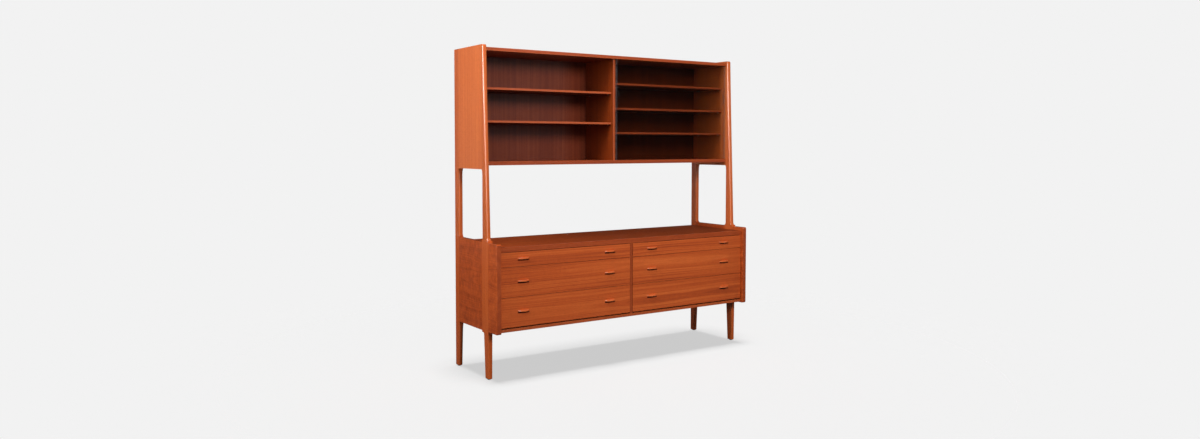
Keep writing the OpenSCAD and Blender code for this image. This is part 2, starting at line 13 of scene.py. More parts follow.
import bmesh
import bpy
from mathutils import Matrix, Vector

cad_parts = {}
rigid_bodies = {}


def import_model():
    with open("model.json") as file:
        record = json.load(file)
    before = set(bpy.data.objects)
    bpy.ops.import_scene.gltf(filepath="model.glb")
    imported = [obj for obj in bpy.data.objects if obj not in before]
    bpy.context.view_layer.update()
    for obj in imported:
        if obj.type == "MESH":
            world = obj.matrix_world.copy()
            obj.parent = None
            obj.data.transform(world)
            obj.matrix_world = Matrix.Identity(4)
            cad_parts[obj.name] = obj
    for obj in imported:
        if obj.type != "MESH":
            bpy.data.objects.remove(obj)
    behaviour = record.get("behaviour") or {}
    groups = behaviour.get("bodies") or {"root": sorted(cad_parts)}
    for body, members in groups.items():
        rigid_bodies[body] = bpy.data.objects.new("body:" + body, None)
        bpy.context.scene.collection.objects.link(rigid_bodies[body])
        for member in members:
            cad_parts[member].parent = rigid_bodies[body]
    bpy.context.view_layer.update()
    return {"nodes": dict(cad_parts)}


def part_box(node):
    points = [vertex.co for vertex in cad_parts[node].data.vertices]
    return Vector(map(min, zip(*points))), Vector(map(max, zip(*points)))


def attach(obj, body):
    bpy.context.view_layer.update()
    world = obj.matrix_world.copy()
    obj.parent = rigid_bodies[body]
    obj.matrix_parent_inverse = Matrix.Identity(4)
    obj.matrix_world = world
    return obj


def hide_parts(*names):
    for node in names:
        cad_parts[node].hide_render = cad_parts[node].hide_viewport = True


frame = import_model()

# %% [markdown]
# ## The camera
# The picture was taken from the left of the front, a little above the counter, with the lens held almost
# level. The frame is a wide crop, so a small shift puts the piece left of the middle without turning the
# camera. Verticals that stay nearly parallel are what makes furniture look like furniture.

# %% Set the camera
scene = bpy.context.scene
camera_data = bpy.data.cameras.new("camera")
camera_data.sensor_width = 36
camera_data.lens = 26.33
camera_data.shift_x = 0.0246
camera_data.shift_y = -0.0274
camera = bpy.data.objects.new("camera", camera_data)
camera.location = (-3.0915, -4.3112, 1.2679)
camera.rotation_euler = (math.radians(87.301), 0, math.radians(-33.156))
scene.collection.objects.link(camera)
scene.camera = camera
print("camera", tuple(round(v, 2) for v in camera.location))

# %% [markdown]
# ## Sums in a node tree
# A shader is a long sum, and it reads best as one. This small class wraps a node's output, so that
# `1 - mask * 0.3` adds its own Math nodes. Each operator also has a reflected form, for sums in which the
# plain number comes first.


# %% Wrap a socket
class Value:
    """A node's output that adds Math nodes when it is used in a sum."""

    def __init__(self, graph, socket):
        self.graph = graph
        self.socket = socket

    def maths(self, operation, a, b):
        return self.graph.make("ShaderNodeMath", {"operation": operation}, {0: a, 1: b})

    def __add__(self, other):
        return self.maths("ADD", self, other)

    def __radd__(self, other):
        return self.maths("ADD", other, self)

    def __sub__(self, other):
        return self.maths("SUBTRACT", self, other)

    def __rsub__(self, other):
        return self.maths("SUBTRACT", other, self)

    def __mul__(self, other):
        return self.maths("MULTIPLY", self, other)

    def __rmul__(self, other):
        return self.maths("MULTIPLY", other, self)

    def __pow__(self, other):
        return self.maths("POWER", self, other)

    def out(self, name):
        return Value(self.graph, self.socket.node.outputs[name])


print("sums of sockets add their own Math nodes")

# %% [markdown]
# ## One way to make a node
# Every other node comes from one method. Its settings are put in first, such as a ramp's stops, then the
# values or links of its sockets. It works in shader trees and in Geometry Nodes. The short methods below it
# make the kinds of node that the finishes ask for again and again.


# %% Make any node
class Graph:
    """A node tree in which one method makes any node."""

    def __init__(self, tree):
        self.tree = tree

    def make(self, kind, settings=None, values=None, out=0):
        node = self.tree.nodes.new(kind)
        for name, value in (settings or {}).items():
            if name == "stops":
                self.set_stops(node.color_ramp, value)
            else:
                setattr(node, name, value)
        for name, value in (values or {}).items():
            if isinstance(value, Value):
                self.tree.links.new(value.socket, node.inputs[name])
            else:
                node.inputs[name].default_value = value
        return Value(self, node.outputs[out]) if len(node.outputs) else node

    def set_stops(self, ramp, stops):
        while len(ramp.elements) < len(stops):
            ramp.elements.new(1)
        for element, (position, tint) in zip(ramp.elements, stops):
            element.position = position
            element.color = (*tint, 1)

    def stretch(self, vector, scale):
        return self.make("ShaderNodeVectorMath", {"operation": "MULTIPLY"}, {0: vector, 1: scale})

    def noise(self, vector, detail=2.0, roughness=0.5):
        values = {"Vector": vector, "Scale": 1, "Detail": detail, "Roughness": roughness}
        return self.make("ShaderNodeTexNoise", None, values)

    def vector(self, x, y, z):
        return self.make("ShaderNodeCombineXYZ", None, {0: x, 1: y, 2: z})

    def mix(self, share, a, b):
        """The colour a where share is 0, and b where it is 1."""
        return self.make("ShaderNodeMix", {"data_type": "RGBA"}, {0: share, 6: a, 7: b}, out=2)

    def ramp(self, value, *stops):
        return self.make("ShaderNodeValToRGB", {"stops": stops}, {0: value})

    def step(self, value, low, high):
        """0 under low, 1 over high, and smooth between."""
        settings = {"interpolation_type": "SMOOTHSTEP"}
        return self.make("ShaderNodeMapRange", settings, {0: value, 1: low, 2: high, 3: 0, 4: 1})


print("one method makes every node")

# %% [markdown]
# ## Colours and materials
# A screen's colours run from 0 to 255 on a curve, while a shader sums light, so every colour passes through
# one conversion. A new material comes with its graph and the shader at its end, and one call sets or links
# any of that shader's sockets.


# %% Convert colours and start a material
def linear(red, green, blue):
    """A colour as the screen shows it, from 0 to 255, in the linear values that shaders use."""
    return tuple((v / 12.92 if v <= 0.04045 else ((v + 0.055) / 1.055) ** 2.4)
                 for v in (red / 255, green / 255, blue / 255))


def colour(*rgb):
    return (*linear(*rgb), 1)


def new_material(name):
    """A material with its graph and the shader at its end."""
    material = bpy.data.materials.new(name)
    material.use_nodes = True
    return material, Graph(material.node_tree), material.node_tree.nodes["Principled BSDF"]


def plug(graph, shader, **values):
    """Sets or links sockets of a shader, with _ for a space in their names."""
    for name, value in values.items():
        socket = shader.inputs[name.replace("_", " ")]
        if isinstance(value, Value):
            graph.tree.links.new(value.socket, socket)
        else:
            socket.default_value = value


print("a screen's middle grey of 128 is", round(linear(128, 128, 128)[0], 3), "in linear light")

# %% [markdown]
# ## Teak
# A tree is a stack of thin cones. A board cut through it shows their edges: straight lines where the saw
# ran through the heart, arches where it ran beside it. So the wood is worked out in the tree's own space.
# Each piece carries an attribute named `grain`: how far each point lies across, into and along the trunk.
# The distance from the heart then picks the ring, a slow noise bends the trunk, and short dark dashes are
# the open pores. One material serves any board, whichever way its grain runs, and end grain comes right by
# itself. Two more attributes vary it: `tone` darkens or lightens a whole piece, and a mark picks the edges
# that hands have polished and the rounds and tops that catch the light. Marked faces get a coat and are
# painted a little paler, which is partly wear and partly a painted highlight.

# %% Write down the scale of each feature
# Features in a metre across, into and along the trunk.
BENDS = (4, 4, 1.1)
FIBRES = (640, 640, 5)
RIPPLES = (30, 30, 55)
PORES = (2300, 2300, 70)
# Features in a metre away from the heart, and along the trunk.
RINGS = (260, 0.5)
STRIPES = (44, 0.3)
# Takes the stripes from another part of the noise than the rings.
STRIPES_APART = 3.1
# How far the trunk wanders across and inwards, in metres.
WANDER_ACROSS, WANDER_IN = 0.035, 0.05
print(FIBRES[0], "fibres and", PORES[0], "pores in a metre of end grain")


# %% Build the wood from the heart outwards
def trunk(g, grain, waves):
    """How far a point is from the heart of a slowly bending trunk, and how far along it."""
    place = g.make("ShaderNodeSeparateXYZ", None, {0: grain})
    across, inward, along = place, place.out("Y"), place.out("Z")
    slow = g.noise(g.stretch(grain, BENDS), 2).out("Color")
    bend = g.make("ShaderNodeSeparateColor", None, {0: slow})
    bent_across = across + (bend - 0.5) * (WANDER_ACROSS * waves)
    bent_inward = inward + (bend.out("Green") - 0.5) * (WANDER_IN * waves)
    return (bent_across * bent_across + bent_inward * bent_inward) ** 0.5, along


def teak(name, pale, middle, dark, streaks=1.0, waves=1.0, satin=0.36, gloss=0.3):
    """A finish in three colours. streaks and waves scale its figure, satin is how matt it is."""
    material, g, shader = new_material(name)
    grain = g.make("ShaderNodeAttribute", {"attribute_name": "grain"}, out="Vector")
    tone = g.make("ShaderNodeAttribute", {"attribute_name": "tone"}, out="Fac")
    wear_and_highlight_mask = g.make("ShaderNodeAttribute", {"attribute_name": "wear"}, out="Fac")
    heart, along = trunk(g, grain, waves)
    rings = g.noise(g.vector(heart * RINGS[0], 0, along * RINGS[1]), 4, 0.7)
    stripes = g.noise(g.vector(heart * STRIPES[0], STRIPES_APART, along * STRIPES[1]), 2, 0.5)
    fibres = g.noise(g.stretch(grain, FIBRES), 2, 0.6)
    ripple = g.noise(g.stretch(grain, RIPPLES), 3, 0.6)
    pores = g.step(g.noise(g.stretch(grain, PORES), 1, 0.5), 0.56, 0.68)
    # Rings and stripes carry the figure. Fibres and ripples are the fine grain on top of it.
    figure = (rings - 0.5) * (1.5 * streaks) + (stripes - 0.5) * (0.8 * streaks)
    shade = 0.5 + figure + (fibres - 0.5) * 0.45 + (ripple - 0.5) * (0.35 * waves) - tone
    wood = g.ramp(shade, (0.1, linear(*pale)), (0.5, linear(*middle)), (0.95, linear(*dark)))
    wood = g.mix(pores * 0.35, wood, colour(*(v * 0.45 for v in dark)))
    # Marked faces are painted a fifth of the way to the pale colour: wear, and a painted highlight.
    wood = g.mix(wear_and_highlight_mask * 0.2, wood, colour(*pale))
    rough = satin + pores * 0.2 + (fibres - 0.5) * 0.14 - wear_and_highlight_mask * 0.06
    height = (1 - pores) * 0.7 + fibres * 0.3
    bump = g.make("ShaderNodeBump", None, {"Strength": 0.3, "Distance": 0.0004, "Height": height})
    plug(g, shader, Base_Color=wood, Roughness=rough, Normal=bump, Specular_IOR_Level=gloss,
         Coat_Weight=wear_and_highlight_mask, Coat_Roughness=0.2)
    return material


print("the teak shader is ready")

# %% [markdown]
# ## Fourteen woods
# Oiled teak isn't one colour. Posts and ends have been in the light and are the palest. The side panels
# have wild figure, the drawer fronts calm straight veneer with dark lines. Lippings are solid wood and
# redder, and the inside of the hutch is a darker teak. Five finishes are painted shade: the case's darker
# top, the divider, the back behind the glass, the insides of the hutch's ends, and the gaps and hollows.
# The drawers' insides are a plain pale hardwood, with plywood floors. Each is three colours and four
# numbers for one shader.

# %% Make the wood finishes
frame_teak = teak("frame_teak", (214, 116, 56), (192, 92, 40), (150, 64, 26), 0.6, 0.6, 0.32, 0.42)
leg_teak = teak("leg_teak", (206, 102, 44), (184, 82, 31), (140, 57, 20), 0.5, 0.6, 0.34, 0.32)
side_teak = teak("side_teak", (200, 94, 39), (172, 72, 26), (120, 45, 15), 0.7, 2.6, 0.4, 0.2)
front_teak = teak("front_teak", (208, 104, 49), (182, 80, 35), (116, 45, 26), 1.05, 0.3)
# The case's top is darker than the fronts: painted shade for the little light a level top gets.
top_painted_shade_teak = teak("top_painted_shade_teak", (176, 84, 38), (148, 62, 26), (92, 36, 18), 1.0, 0.5, 0.42, 0.2)
edge_teak = teak("edge_teak", (180, 86, 44), (153, 65, 30), (112, 43, 21), 0.6, 0.6, 0.34, 0.4)
# The divider's faces are painted darker: painted shade.
divider_painted_shade_teak = teak("divider_painted_shade_teak", (150, 63, 17), (128, 50, 12), (92, 31, 8), 0.7, 0.6, 0.4, 0.2)
# The back behind the glass of the right bay is painted darker: painted shade.
back_painted_shade_teak = teak("back_painted_shade_teak", (108, 45, 17), (86, 34, 12), (56, 22, 8), 0.7, 0.5, 0.5, 0.05)
# The inner faces of the hutch's ends are painted darker: painted shade.
end_painted_shade_teak = teak("end_painted_shade_teak", (200, 108, 51), (171, 85, 36), (127, 59, 26), 0.6, 0.6, 0.34, 0.3)
# The edges of drawer fronts and the pulls' hollows: painted shade in gaps and hollows.
gap_painted_shade_teak = teak("gap_painted_shade_teak", (92, 38, 24), (74, 28, 18), (52, 20, 14), 0.5, 0.6, 0.6, 0.1)
inner_teak = teak("inner_teak", (136, 68, 42), (108, 47, 29), (74, 31, 20), 0.7, 0.5)
pull_teak = teak("pull_teak", (214, 114, 60), (190, 87, 41), (144, 56, 25), 0.6, 1.0, 0.3, 0.5)
drawer_wood = teak("drawer_wood", (214, 172, 120), (196, 150, 98), (160, 112, 68), streaks=0.6, satin=0.6)
floor_ply = teak("floor_ply", (204, 160, 108), (186, 138, 88), (150, 104, 62), streaks=0.9, satin=0.62)
print("fourteen wood finishes")

# %% [markdown]
# ## Glass
# The panes are 4 mm float glass with a grey edge. Light that only passes through them casts no caustics, so
# shadow rays see a plain tinted sheet instead. The finger holds are ground into the face and stay matt, and
# the edges are ground too, with small nicks.


# %% Make the glass
def over_piece(g, scale, detail=2, roughness=0.5):
    """A noise over a whole piece, with scale features in a metre along X, Y and Z."""
    where = g.make("ShaderNodeTexCoord", out="Object")
    return g.noise(g.stretch(where, scale), detail, roughness)


def glass(name, tint, shade, rough):
    """Clear glass with a tint of its own, and a shade for the light that falls through it."""
    material, g, shader = new_material(name)
    smears = over_piece(g, (9, 9, 5))
    plug(g, shader, Base_Color=colour(*tint), Roughness=rough + smears * 0.03, Transmission_Weight=1.0,
         IOR=1.5)
    sheet = g.make("ShaderNodeBsdfTransparent", None, {"Color": colour(*shade)})
    shadow = g.make("ShaderNodeLightPath", out="Is Shadow Ray")
    both = g.make("ShaderNodeMixShader", None, {0: shadow, 1: Value(g, shader.outputs[0]), 2: sheet})
    end = material.node_tree.nodes["Material Output"]
    material.node_tree.links.new(both.socket, end.inputs["Surface"])
    return material


pane_glass = glass("pane_glass", (240, 238, 235), (238, 236, 233), 0.0)
ground_glass = glass("ground_glass", (198, 202, 205), (216, 216, 214), 0.2)

glass_edge, g, shader = new_material("glass_edge")
nicks = over_piece(g, (400, 400, 60))
grey = g.mix(nicks, colour(54, 50, 54), colour(94, 94, 100))
plug(g, shader, Base_Color=grey, Roughness=0.2 + nicks * 0.2, Transmission_Weight=0.35, IOR=1.5)
print("clear, ground and edge glass")

# %% [markdown]
# ## Steel, plastic and beech
# The shelf pins are turned steel, so fine lines run round them: the noise is tight along the pin and loose
# round it. The feet stand on small scuffed glides of hard plastic. Beech is the usual wood for dowels.

# %% Make the metal, the plastic and the beech
pin_steel, g, shader = new_material("pin_steel")
lathe_lines = over_piece(g, (2600, 90, 90))
steel = g.mix(lathe_lines, colour(150, 150, 154), colour(196, 196, 198))
plug(g, shader, Base_Color=steel, Metallic=1.0, Roughness=0.24 + lathe_lines * 0.2)

glide_plastic, g, shader = new_material("glide_plastic")
scuffs = over_piece(g, (700, 700, 160), 3)
plastic = g.mix(scuffs, colour(44, 36, 31), colour(66, 54, 46))
scratches = g.make("ShaderNodeBump", None, {"Strength": 0.2, "Distance": 0.0002, "Height": scuffs})
plug(g, shader, Base_Color=plastic, Roughness=0.4 + scuffs * 0.3, Normal=scratches)

dowel_beech, g, shader = new_material("dowel_beech")
flecks = over_piece(g, (900, 900, 60), 3, 0.6)
beech = g.mix(flecks, colour(206, 164, 116), colour(176, 130, 84))
plug(g, shader, Base_Color=beech, Roughness=0.5 + flecks * 0.2)
print("steel, plastic and beech")

# %% [markdown]
# ## Turning a shape into a piece
# Each shape ends the same way: it becomes a mesh, gets its grain, its own place in the tree and a small
# difference in tone, and rides on its body. The three letters of `run` name the axis along the grain, the
# one across it in the face, and the one that points out of the face. Weighted normals keep large faces flat
# beside their small rounded edges.

# %% Finish a piece
MM = 0.001
ROUND_ANGLE = math.radians(32)
AXES = "XYZ"
TREE_LENGTH = 40
chance = random.Random(11)


def finish_piece(name, bm, body, nodes, finishes, run, heart=(0.0, 0.09), tone=0.0, shift=None):
    """Makes a piece from a shape. heart is how far its middle lies from the tree's heart, across and in."""
    mesh = bpy.data.meshes.new(name)
    bm.to_mesh(mesh)
    bm.free()
    mesh.shade_smooth()
    mesh.set_sharp_from_angle(angle=ROUND_ANGLE)
    add_grain(mesh, run, heart, tone, chance.uniform(0, TREE_LENGTH) if shift is None else shift)
    place_piece(name, mesh, body, nodes, finishes)


def add_grain(mesh, run, heart, tone, shift):
    """Stores how far each point lies across, into and along the trunk, and the piece's tone."""
    along, across, out = (AXES.index(letter) for letter in run)
    points = [v.co for v in mesh.vertices]
    middle = [(min(p[i] for p in points) + max(p[i] for p in points)) / 2 for i in range(3)]
    values = []
    for p in points:
        values += [p[across] - middle[across] + heart[0], p[out] - middle[out] + heart[1], p[along] + shift]
    mesh.attributes.new("grain", "FLOAT_VECTOR", "POINT").data.foreach_set("vector", values)
    mesh.attributes.new("tone", "FLOAT", "POINT").data.foreach_set("value", [tone] * len(points))


def place_piece(name, mesh, body, nodes, finishes):
    piece = bpy.data.objects.new(name, mesh)
    scene.collection.objects.link(piece)
    for finish in finishes:
        mesh.materials.append(finish)
    normals = piece.modifiers.new("flat_faces", "WEIGHTED_NORMAL")
    normals.keep_sharp = True
    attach(piece, body)
    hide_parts(*nodes)


print("a shape becomes a piece in one call")

# %% [markdown]
# ## Working on a solid
# Many pieces are already right in the solids, joints and grooves included, so a copy of the solid is where
# they start. Its loose triangles are merged, and each flat face becomes one polygon, so that a bevel finds
# clean edges. The bevel rounds only what is sharper than an angle, and the faces that it makes are marked
# as worn, because hands reach an edge first. The same mark paints them a little paler, as a painted
# highlight.

# %% Copy, ease and cut
SAME_PLACE = 1e-6
SAME_PLANE = 1e-5
FLAT_ANGLE = math.radians(0.5)


def copy_solid(node):
    """A closed copy of a solid with each flat face in one piece."""
    bm = bmesh.new()
    bm.from_mesh(frame["nodes"][node].data)
    bmesh.ops.remove_doubles(bm, verts=bm.verts, dist=SAME_PLACE)
    bmesh.ops.dissolve_limit(bm, angle_limit=FLAT_ANGLE, verts=bm.verts, edges=bm.edges)
    return bm


def ease(bm, radius, chosen=None, segments=3):
    """Rounds the sharp edges that chosen says yes to, and marks the new faces for wear and a painted
    highlight.
    """
    wear = bm.faces.layers.float.get("wear") or bm.faces.layers.float.new("wear")
    sharp = [e for e in bm.edges if len(e.link_faces) == 2 and e.calc_face_angle(0) > ROUND_ANGLE
             and (chosen is None or chosen(e))]
    made = bmesh.ops.bevel(bm, geom=sharp, offset=radius, segments=segments, profile=0.5,
                           affect="EDGES", clamp_overlap=True)
    for face in made["faces"]:
        face[wear] = 1.0
    return bm


def cut(bm, place, normal):
    """Cuts the faces along a plane, so that each side can have its own finish. The shape stays whole."""
    geometry = bm.verts[:] + bm.edges[:] + bm.faces[:]
    bmesh.ops.bisect_plane(bm, geom=geometry, plane_co=place, plane_no=normal)


def second_finish(bm, chosen):
    """Gives the second of a piece's finishes to the faces that chosen says yes to."""
    bm.normal_update()
    for face in bm.faces:
        face.material_index = int(chosen(face))
    return bm


print("edges sharper than", round(math.degrees(ROUND_ANGLE)), "degrees are eased")

# %% [markdown]
# ## Stacks of outlines
# A post tapers, flares, and changes from round to square along its length. That is hard to bevel but easy
# to stack: every level has a height and an outline with its own round corners. All outlines have the same
# number of points, so each level's points join the next one's, and the two ends close the skin.

# %% Stack outlines into a post
CORNER_STEPS = 6
SLANT = 0.2
SIDES = ("left", "right")


def quarter(cx, cy, r, turn):
    """A rounded corner of an outline, from the angle turn to a quarter turn on."""
    angles = [math.radians(turn + 90 * i / CORNER_STEPS) for i in range(CORNER_STEPS + 1)]
    return [(cx + r * math.cos(a), cy + r * math.sin(a)) for a in angles]


def outline(x0, x1, y0, y1, front_r, rear_r):
    """A rectangle seen from above with round corners, always with the same number of points."""
    return (quarter(x1 - rear_r, y1 - rear_r, rear_r, 0)
            + quarter(x0 + rear_r, y1 - rear_r, rear_r, 90)
            + quarter(x0 + front_r, y0 + front_r, front_r, 180)
            + quarter(x1 - front_r, y0 + front_r, front_r, 270))


def skin(bm, rings):
    """Joins rings of points and closes the ends. Returns the faces, each after its place in the ring."""
    count = len(rings[0])
    faces = []
    for lower, upper in zip(rings, rings[1:]):
        for i in range(count):
            j = (i + 1) % count
            faces.append((i, bm.faces.new((lower[i], lower[j], upper[j], upper[i]))))
    bm.faces.new(reversed(rings[0]))
    bm.faces.new(rings[-1])
    return faces


def loft(levels):
    """Skins a stack of outlines, each a height and its points; round edges get wear and a painted
    highlight.
    """
    bm = bmesh.new()
    skin(bm, [[bm.verts.new((x, y, z)) for x, y in points] for z, points in levels])
    wear = bm.faces.layers.float.new("wear")
    bm.normal_update()
    for face in bm.faces:
        across, ahead, up = face.normal
        # Round corners and turned-up corners are marked, which paints a highlight on them.
        upright_corner = min(abs(across), abs(ahead)) > SLANT
        top_corner = up > SLANT and abs(across) > SLANT / 2
        face[wear] = float(upright_corner or top_corner)
    return bm


def on_side(side, bm):
    """Turns a right-hand shape over if it is for the left."""
    if side == "left":
        for vert in bm.verts:
            vert.co.x = -vert.co.x
        bmesh.ops.reverse_faces(bm, faces=bm.faces)
    return bm


print("each outline has", 4 * (CORNER_STEPS + 1), "points")

# %% [markdown]
# ## Leg posts
# Each front leg is one post that runs from the floor through the side frame up to a low shoulder, where the
# hutch's post stands on it. Below the frame it tapers, well rounded on the side that faces the room and
# less on the other; inside the frame it is square, flush with its neighbours. A stack of outlines follows
# all of that, and a quarter circle of levels makes each fillet. The right-hand shapes are made first, and
# the left ones are the same shapes turned over.

# %% Measure the side frames
front_low, front_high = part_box("right_front_leg")
rear_low, rear_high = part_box("right_rear_leg")
panel_low, panel_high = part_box("right_side_panel")
hutch_low, hutch_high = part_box("right_front_hutch_post")
INNER_X, OUTER_X = front_low.x, front_high.x
FRAME_BASE, FRAME_TOP = panel_low.z, panel_high.z
JOINT_Z = front_high.z
FOOT_DEPTH = 38 * MM
LEG_DEPTH = 51 * MM
print("the legs are", round(FRAME_BASE, 3), "m high, and their shoulders", round(JOINT_Z, 3), "m")

# %% Loft the legs
STEPS = 6
FOOT_STEPS = 4
LEG_R = 10 * MM
BACK_R = 3.5 * MM
POST_R = 8 * MM
REAR_JOINT_R = 4 * MM
FLUSH_R = 0.3 * MM
FOOT_ROUND = 4 * MM
FLARE = 9 * MM
FLARE_AHEAD = 0.8
CORNER_LOSS = 0.6
LOSS_POWER = 6
# Where the two posts meet, both stand out by SEAT and have this share of their full radii.
SEAT = 2 * MM
SEAT_CORNER = 0.7
# How far up a rear leg, and how much of the corner's radius is left there.
REAR_CORNERS = ((0.5, 1.0), (0.88, 0.9), (0.96, 0.5))


def quarter_turn(steps):
    """Angles from 0 to a quarter turn."""
    return [math.pi / 2 * i / steps for i in range(steps + 1)]


def post_outline(front, rear, front_r, rear_r, inset=0.0):
    """A right-hand post's outline, pulled in on both sides by inset."""
    return outline(INNER_X + inset, OUTER_X - inset, front, rear, front_r, rear_r)


def foot_levels(foot, front, rear):
    """The round edge of a foot, which pulls its outline in all round."""
    levels = []
    for a in quarter_turn(FOOT_STEPS):
        inset = FOOT_ROUND * (1 - math.sin(a))
        back_r = max(BACK_R - inset, FLUSH_R)
        points = post_outline(front + inset, rear - inset, LEG_R - inset, back_r, inset)
        levels.append((foot + FOOT_ROUND * (1 - math.cos(a)), points))
    return levels


def front_leg_levels():
    front, rear, foot = front_low.y, front_high.y, front_low.z
    levels = foot_levels(foot, front, front + FOOT_DEPTH)
    for a in quarter_turn(STEPS):
        z = FRAME_BASE - FLARE * (1 - math.sin(a))
        reach = FLARE * (1 - math.cos(a))
        share = (z - foot) / (FRAME_BASE - foot)
        back = front + FOOT_DEPTH + (LEG_DEPTH - FOOT_DEPTH) * share + reach
        fade = 1 - CORNER_LOSS * share ** LOSS_POWER
        levels.append((z, post_outline(front - reach * FLARE_AHEAD, back, LEG_R * fade, BACK_R * fade)))
    for z in (FRAME_BASE, FRAME_TOP):
        levels.append((z, post_outline(front, rear, FLUSH_R, FLUSH_R)))
    return levels + shoulder_levels(front, rear)


def shoulder_levels(front, rear):
    """Two quarter circles that lead from the frame's top in to the foot of the hutch's post."""
    levels = []
    ahead, behind = hutch_low.y - front - SEAT, rear - hutch_high.y - SEAT
    for i in range(1, STEPS + 1):
        a = math.pi / 2 * i / STEPS
        z = FRAME_TOP + (JOINT_Z - FRAME_TOP) * (1 - math.cos(a))
        nose, back_r = (FLUSH_R + (full * SEAT_CORNER - FLUSH_R) * (i / STEPS) ** 2
                        for full in (POST_R, BACK_R))
        points = post_outline(front + ahead * math.sin(a), rear - behind * math.sin(a), nose, back_r)
        levels.append((z, points))
    return levels


def rear_leg_levels():
    front, rear, foot = rear_low.y, rear_high.y, rear_low.z
    levels = foot_levels(foot, rear - FOOT_DEPTH, rear)
    slope = (rear - front - FOOT_DEPTH) / (FRAME_BASE - foot)
    corners = [(share, LEG_R * left) for share, left in REAR_CORNERS]
    for share, r in corners + [(1.0, FLUSH_R)]:
        z = foot + (FRAME_BASE - foot) * share
        levels.append((z, post_outline(rear - FOOT_DEPTH - slope * (z - foot), rear, r, BACK_R)))
    levels.append((FRAME_TOP, post_outline(front, rear, FLUSH_R, BACK_R)))
    levels.append((JOINT_Z, post_outline(front, rear, REAR_JOINT_R, BACK_R)))
    return levels


for side in SIDES:
    front_leg = on_side(side, loft(front_leg_levels()))
    finish_piece(f"{side}_front_leg_post", front_leg, "carcase", [f"{side}_front_leg"],
                 [leg_teak], "ZYX", heart=(0.02, 0.14), tone=0.06)
    rear_leg = on_side(side, loft(rear_leg_levels()))
    finish_piece(f"{side}_rear_leg_post", rear_leg, "carcase", [f"{side}_rear_leg"],
                 [leg_teak], "ZYX", heart=(-0.02, 0.16), tone=0.0)
print("a front leg has", len(front_leg_levels()), "levels and a rear one", len(rear_leg_levels()))

# %% [markdown]
# ## Hutch posts
# The hutch's front post keeps its back upright and leans its front, so it thins from 54 mm at the counter
# to a slip at the top, where the corner is rounded. Its nose is round all the way up and catches the light
# as a thin bright line. Its rear edges are eased in the open and fade to square where the end panel joins
# it. It is the same kind of stack as a leg, with the lean worked into each level.

# %% Loft the hutch posts
end_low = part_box("right_hutch_end")[0]
rear_post_low, rear_post_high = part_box("right_rear_hutch_post")
HUTCH_TOP = hutch_high.z
HEAD_DEPTH = 11 * MM
NOSE_R = 12.5 * MM
FOOT_FLARE = 12 * MM
FADE = 26 * MM
FADE_LEVELS = (0.0, 0.5, 0.8, 1.0)
LEVEL_BELOW_TOP = 300 * MM
CROWN = 10 * MM
CROWN_SETBACK = 8 * MM
CROWN_INSET = 6 * MM
NOSE_SHARE = 0.8
TOP_EASE = 0.8 * MM


def lean_at(z):
    """The front of a front hutch post at a height."""
    share = (z - JOINT_Z) / (HUTCH_TOP - JOINT_Z)
    return hutch_low.y + (hutch_high.y - HEAD_DEPTH - hutch_low.y) * share


def fading(radius):
    """Heights up to the end panel, and what is left there of a corner that fades to square."""
    for share in FADE_LEVELS:
        yield end_low.z - FADE + FADE * share, radius + (FLUSH_R - radius) * share ** 2


def front_post_levels():
    levels = []
    back = hutch_high.y
    for i, a in enumerate(quarter_turn(STEPS)):
        z = JOINT_Z + FOOT_FLARE * math.sin(a)
        out = SEAT * (1 - math.sin(a))
        back_r = BACK_R * (SEAT_CORNER + (1 - SEAT_CORNER) * i / STEPS)
        nose = POST_R * SEAT_CORNER + (NOSE_R - POST_R * SEAT_CORNER) * i / STEPS
        levels.append((z, post_outline(lean_at(z) - out, back + out, nose, back_r)))
    for z, back_r in fading(BACK_R):
        levels.append((z, post_outline(lean_at(z), back, NOSE_R, back_r)))
    z = HUTCH_TOP - LEVEL_BELOW_TOP
    levels.append((z, post_outline(lean_at(z), back, NOSE_R, FLUSH_R)))
    for a in quarter_turn(STEPS):
        z = HUTCH_TOP - CROWN + CROWN * math.sin(a)
        front = lean_at(z) + CROWN_SETBACK * (1 - math.cos(a))
        nose = min(NOSE_R, (back - front) * NOSE_SHARE)
        levels.append((z, post_outline(front, back, nose, FLUSH_R, CROWN_INSET * (1 - math.cos(a)))))
    return levels


def rear_post_levels():
    front, rear = rear_post_low.y, rear_post_high.y
    levels = [(JOINT_Z, post_outline(front, rear, REAR_JOINT_R, BACK_R)),
              (JOINT_Z + FOOT_FLARE, post_outline(front, rear, POST_R, BACK_R))]
    for z, front_r in fading(POST_R):
        levels.append((z, post_outline(front, rear, front_r, BACK_R)))
    levels.append((HUTCH_TOP - TOP_EASE, post_outline(front, rear, FLUSH_R, BACK_R)))
    levels.append((HUTCH_TOP, post_outline(front, rear - TOP_EASE, FLUSH_R, BACK_R, TOP_EASE)))
    return levels


for side in SIDES:
    front_post = on_side(side, loft(front_post_levels()))
    finish_piece(f"{side}_front_hutch_upright", front_post, "carcase", [f"{side}_front_hutch_post"],
                 [frame_teak], "ZYX", heart=(0.03, 0.15), tone=-0.08)
    rear_post = on_side(side, loft(rear_post_levels()))
    finish_piece(f"{side}_rear_hutch_upright", rear_post, "carcase", [f"{side}_rear_hutch_post"],
                 [frame_teak], "ZYX", heart=(-0.03, 0.15), tone=-0.12)
print("four hutch posts up to", round(HUTCH_TOP, 3), "m")

